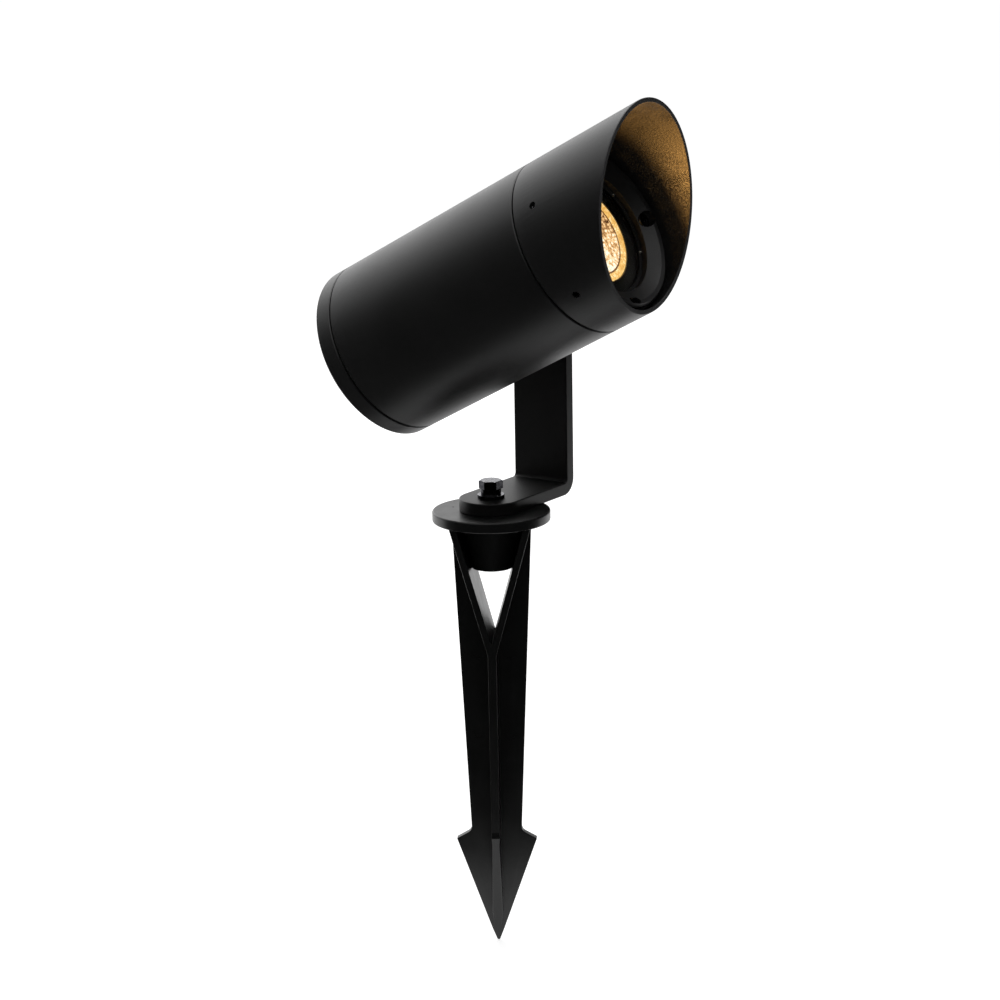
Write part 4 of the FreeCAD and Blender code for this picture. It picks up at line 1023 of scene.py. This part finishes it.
def floor_surface(finish, stage):
    """A pale matt floor that looks white and keeps the lamp's shadow."""
    fleck = finish.noise(finish.place(), 0.4, 3.0)
    colour = finish.mix(fleck, scaled(stage.floor_colour, 0.99), stage.floor_colour)
    matt = finish.node("ShaderNodeBsdfDiffuse", None, {"Color": colour})
    strength = white_where_seen(finish) * stage.floor_glow
    glow = finish.node("ShaderNodeEmission", None, {"Strength": strength})
    return finish.node("ShaderNodeAddShader", None, {0: matt, 1: glow})


def dark_cloth(finish):
    """Black cloth of the cards round the lamp."""
    weave = finish.noise(finish.place(), 0.002)
    colour = finish.mix(weave, (0.004, 0.004, 0.004), (0.008, 0.008, 0.008))
    return finish.node("ShaderNodeBsdfDiffuse", None, {"Color": colour})


def stage_piece(name, build, material):
    """A piece of the stage, which is no part of the lamp."""
    mesh = bpy.data.meshes.new(name)
    build.to_mesh(mesh)
    build.free()
    mesh.materials.append(material)
    piece = bpy.data.objects.new(name, mesh)
    bpy.context.scene.collection.objects.link(piece)
    piece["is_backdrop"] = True
    return piece


def soft_box(name, place, target, size, power):
    """A large rectangular lamp that looks at a point."""
    light = bpy.data.lights.new(name, "AREA")
    light.shape = "RECTANGLE"
    light.size, light.size_y = size
    light.energy = power
    lamp = bpy.data.objects.new(name, light)
    bpy.context.scene.collection.objects.link(lamp)
    lamp.location = place
    lamp.rotation_mode = "QUATERNION"
    lamp.rotation_quaternion = (Vector(target) - Vector(place)).to_track_quat("-Z", "Y")
    lamp.visible_camera = False
    return lamp


class SetStage(bpy.types.Operator):
    """Set the pale floor, the soft studio light and the camera"""

    bl_idname = "spotlight.set_stage"
    bl_label = "Stage"

    floor_radius = 16.0
    floor_gap = 0.0003
    light_target = (0, 0, 0.1)
    # Outlines of the cards from the floor up, as (radius, height above the floor).
    front_outline = (
        (0.09, 0.002), (0.42, 0.004), (0.5, 0.03), (0.55, 0.12), (0.6, 0.75),
    )
    front_span = (math.radians(-158), math.radians(50))
    side_outline = ((0.7, 0.1), (0.7, 0.95))
    side_span = (math.radians(40), math.radians(100))
    rear_outline = ((0.1, 0.002), (0.24, 0.003))
    rear_span = (math.radians(50), math.radians(202))
    card_steps = 40
    camera_place = (0.6854, -1.0031, 0.3037)
    camera_heading = math.radians(34.146)
    camera_dip = math.radians(13.613)
    camera_roll = math.radians(-0.983)

    def execute(self, context):
        stage = context.scene.spotlight.stage
        self.make_world(context, stage)
        floor_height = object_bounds()[0].z - self.floor_gap
        self.make_floor(stage, floor_height)
        cloth = make_material("finish_card", dark_cloth)
        for name, outline, span in (
            ("front_card", self.front_outline, self.front_span),
            ("side_card", self.side_outline, self.side_span),
            ("rear_card", self.rear_outline, self.rear_span),
        ):
            self.make_card(name, floor_height, outline, span, cloth)
        for name, place, size, power in (
            ("top_light", (-0.35, 0.45, 1.5), (1.3, 1.3), stage.top_power),
            ("rear_light", (-1.3, 0.75, 0.55), (1.2, 0.9), stage.rear_power),
        ):
            soft_box(name, place, self.light_target, size, power)
        self.make_camera(context, stage)
        return {"FINISHED"}

    def make_world(self, context, stage):
        world = bpy.data.worlds.new("studio")
        world.use_nodes = True
        context.scene.world = world
        finish = Finish(world.node_tree)
        strength = stage.sky + white_where_seen(finish) * (1.0 - stage.sky)
        sky = finish.node("ShaderNodeBackground", None, {"Strength": strength})
        sky.socket.node.inputs["Color"].default_value = (1.0, 1.0, 1.0, 1.0)
        finish.node("ShaderNodeOutputWorld", None, {"Surface": sky})
        context.scene.view_settings.view_transform = "Standard"

    def make_floor(self, stage, height):
        build = bmesh.new()
        place = Matrix.Translation((0, 0, height))
        bmesh.ops.create_circle(
            build, cap_ends=True, segments=96, radius=self.floor_radius, matrix=place
        )
        material = make_material("finish_floor", floor_surface, stage)
        stage_piece("pale_floor", build, material)

    def make_card(self, name, floor_height, outline, span, cloth):
        """A curved black card round the lamp, seen only in reflections."""
        build = bmesh.new()
        columns = []
        for step in range(self.card_steps + 1):
            turn = span[0] + (span[1] - span[0]) * step / self.card_steps
            across, away = math.cos(turn), math.sin(turn)
            columns.append([
                build.verts.new((radius * across, radius * away, floor_height + height))
                for radius, height in outline
            ])
        for first, second in zip(columns, columns[1:]):
            for low in range(len(outline) - 1):
                high = low + 1
                build.faces.new((first[low], second[low], second[high], first[high]))
        card = stage_piece(name, build, cloth)
        card.visible_camera = False
        card.visible_diffuse = False
        card.visible_shadow = False

    def make_camera(self, context, stage):
        data = bpy.data.cameras.new("camera")
        data.sensor_width = 36.0
        data.lens = stage.focal_length
        data.clip_start, data.clip_end = 0.01, 100.0
        camera = bpy.data.objects.new("camera", data)
        context.scene.collection.objects.link(camera)
        turn = (
            Matrix.Rotation(self.camera_heading, 4, "Z")
            @ Matrix.Rotation(math.radians(90) - self.camera_dip, 4, "X")
            @ Matrix.Rotation(self.camera_roll, 4, "Z")
        )
        camera.matrix_world = Matrix.Translation(self.camera_place) @ turn
        context.scene.camera = camera


class SpotlightPanel(bpy.types.Panel):
    """The lamp's pieces and settings"""

    bl_idname = "VIEW3D_PT_spotlight"
    bl_label = "Garden spike spotlight"
    bl_space_type = "VIEW_3D"
    bl_region_type = "UI"
    bl_category = "Spotlight"

    def draw(self, context):
        settings = context.scene.spotlight
        for title, group, operators in (
            ("Frame and coat", settings.coat, (DressFrame, MakeFasteners, MakeGland)),
            ("Spike", settings.moulding, (MakeSpike,)),
            ("Hood", settings.hood, (MakeHood,)),
            ("Bezel and lens", settings.optic, (MakeBezel, MakeOptic)),
            ("Stage", settings.stage, (SetStage,)),
        ):
            box = self.layout.box()
            box.label(text=title)
            for name in group.bl_rna.properties.keys():
                if name not in ("rna_type", "name"):
                    box.prop(group, name)
            for operator in operators:
                box.operator(operator.bl_idname)


CLASSES = (
    CoatSettings, MouldingSettings, OpticSettings, HoodSettings, StageSettings,
    SpotlightSettings, DressFrame, MakeSpike, MakeFasteners, MakeGland, MakeHood,
    MakeBezel, MakeOptic, SetStage, SpotlightPanel,
)


def register():
    for made in CLASSES:
        bpy.utils.register_class(made)
    bpy.types.Scene.spotlight = bpy.props.PointerProperty(type=SpotlightSettings)


def unregister():
    del bpy.types.Scene.spotlight
    for made in reversed(CLASSES):
        bpy.utils.unregister_class(made)


def main():
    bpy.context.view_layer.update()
    register()
    bpy.ops.spotlight.dress_frame()
    bpy.ops.spotlight.make_spike()
    bpy.ops.spotlight.make_fasteners()
    bpy.ops.spotlight.make_gland()
    bpy.ops.spotlight.make_hood()
    bpy.ops.spotlight.make_bezel()
    bpy.ops.spotlight.make_optic()
    bpy.ops.spotlight.set_stage()


if __name__ == "__main__":
    main()
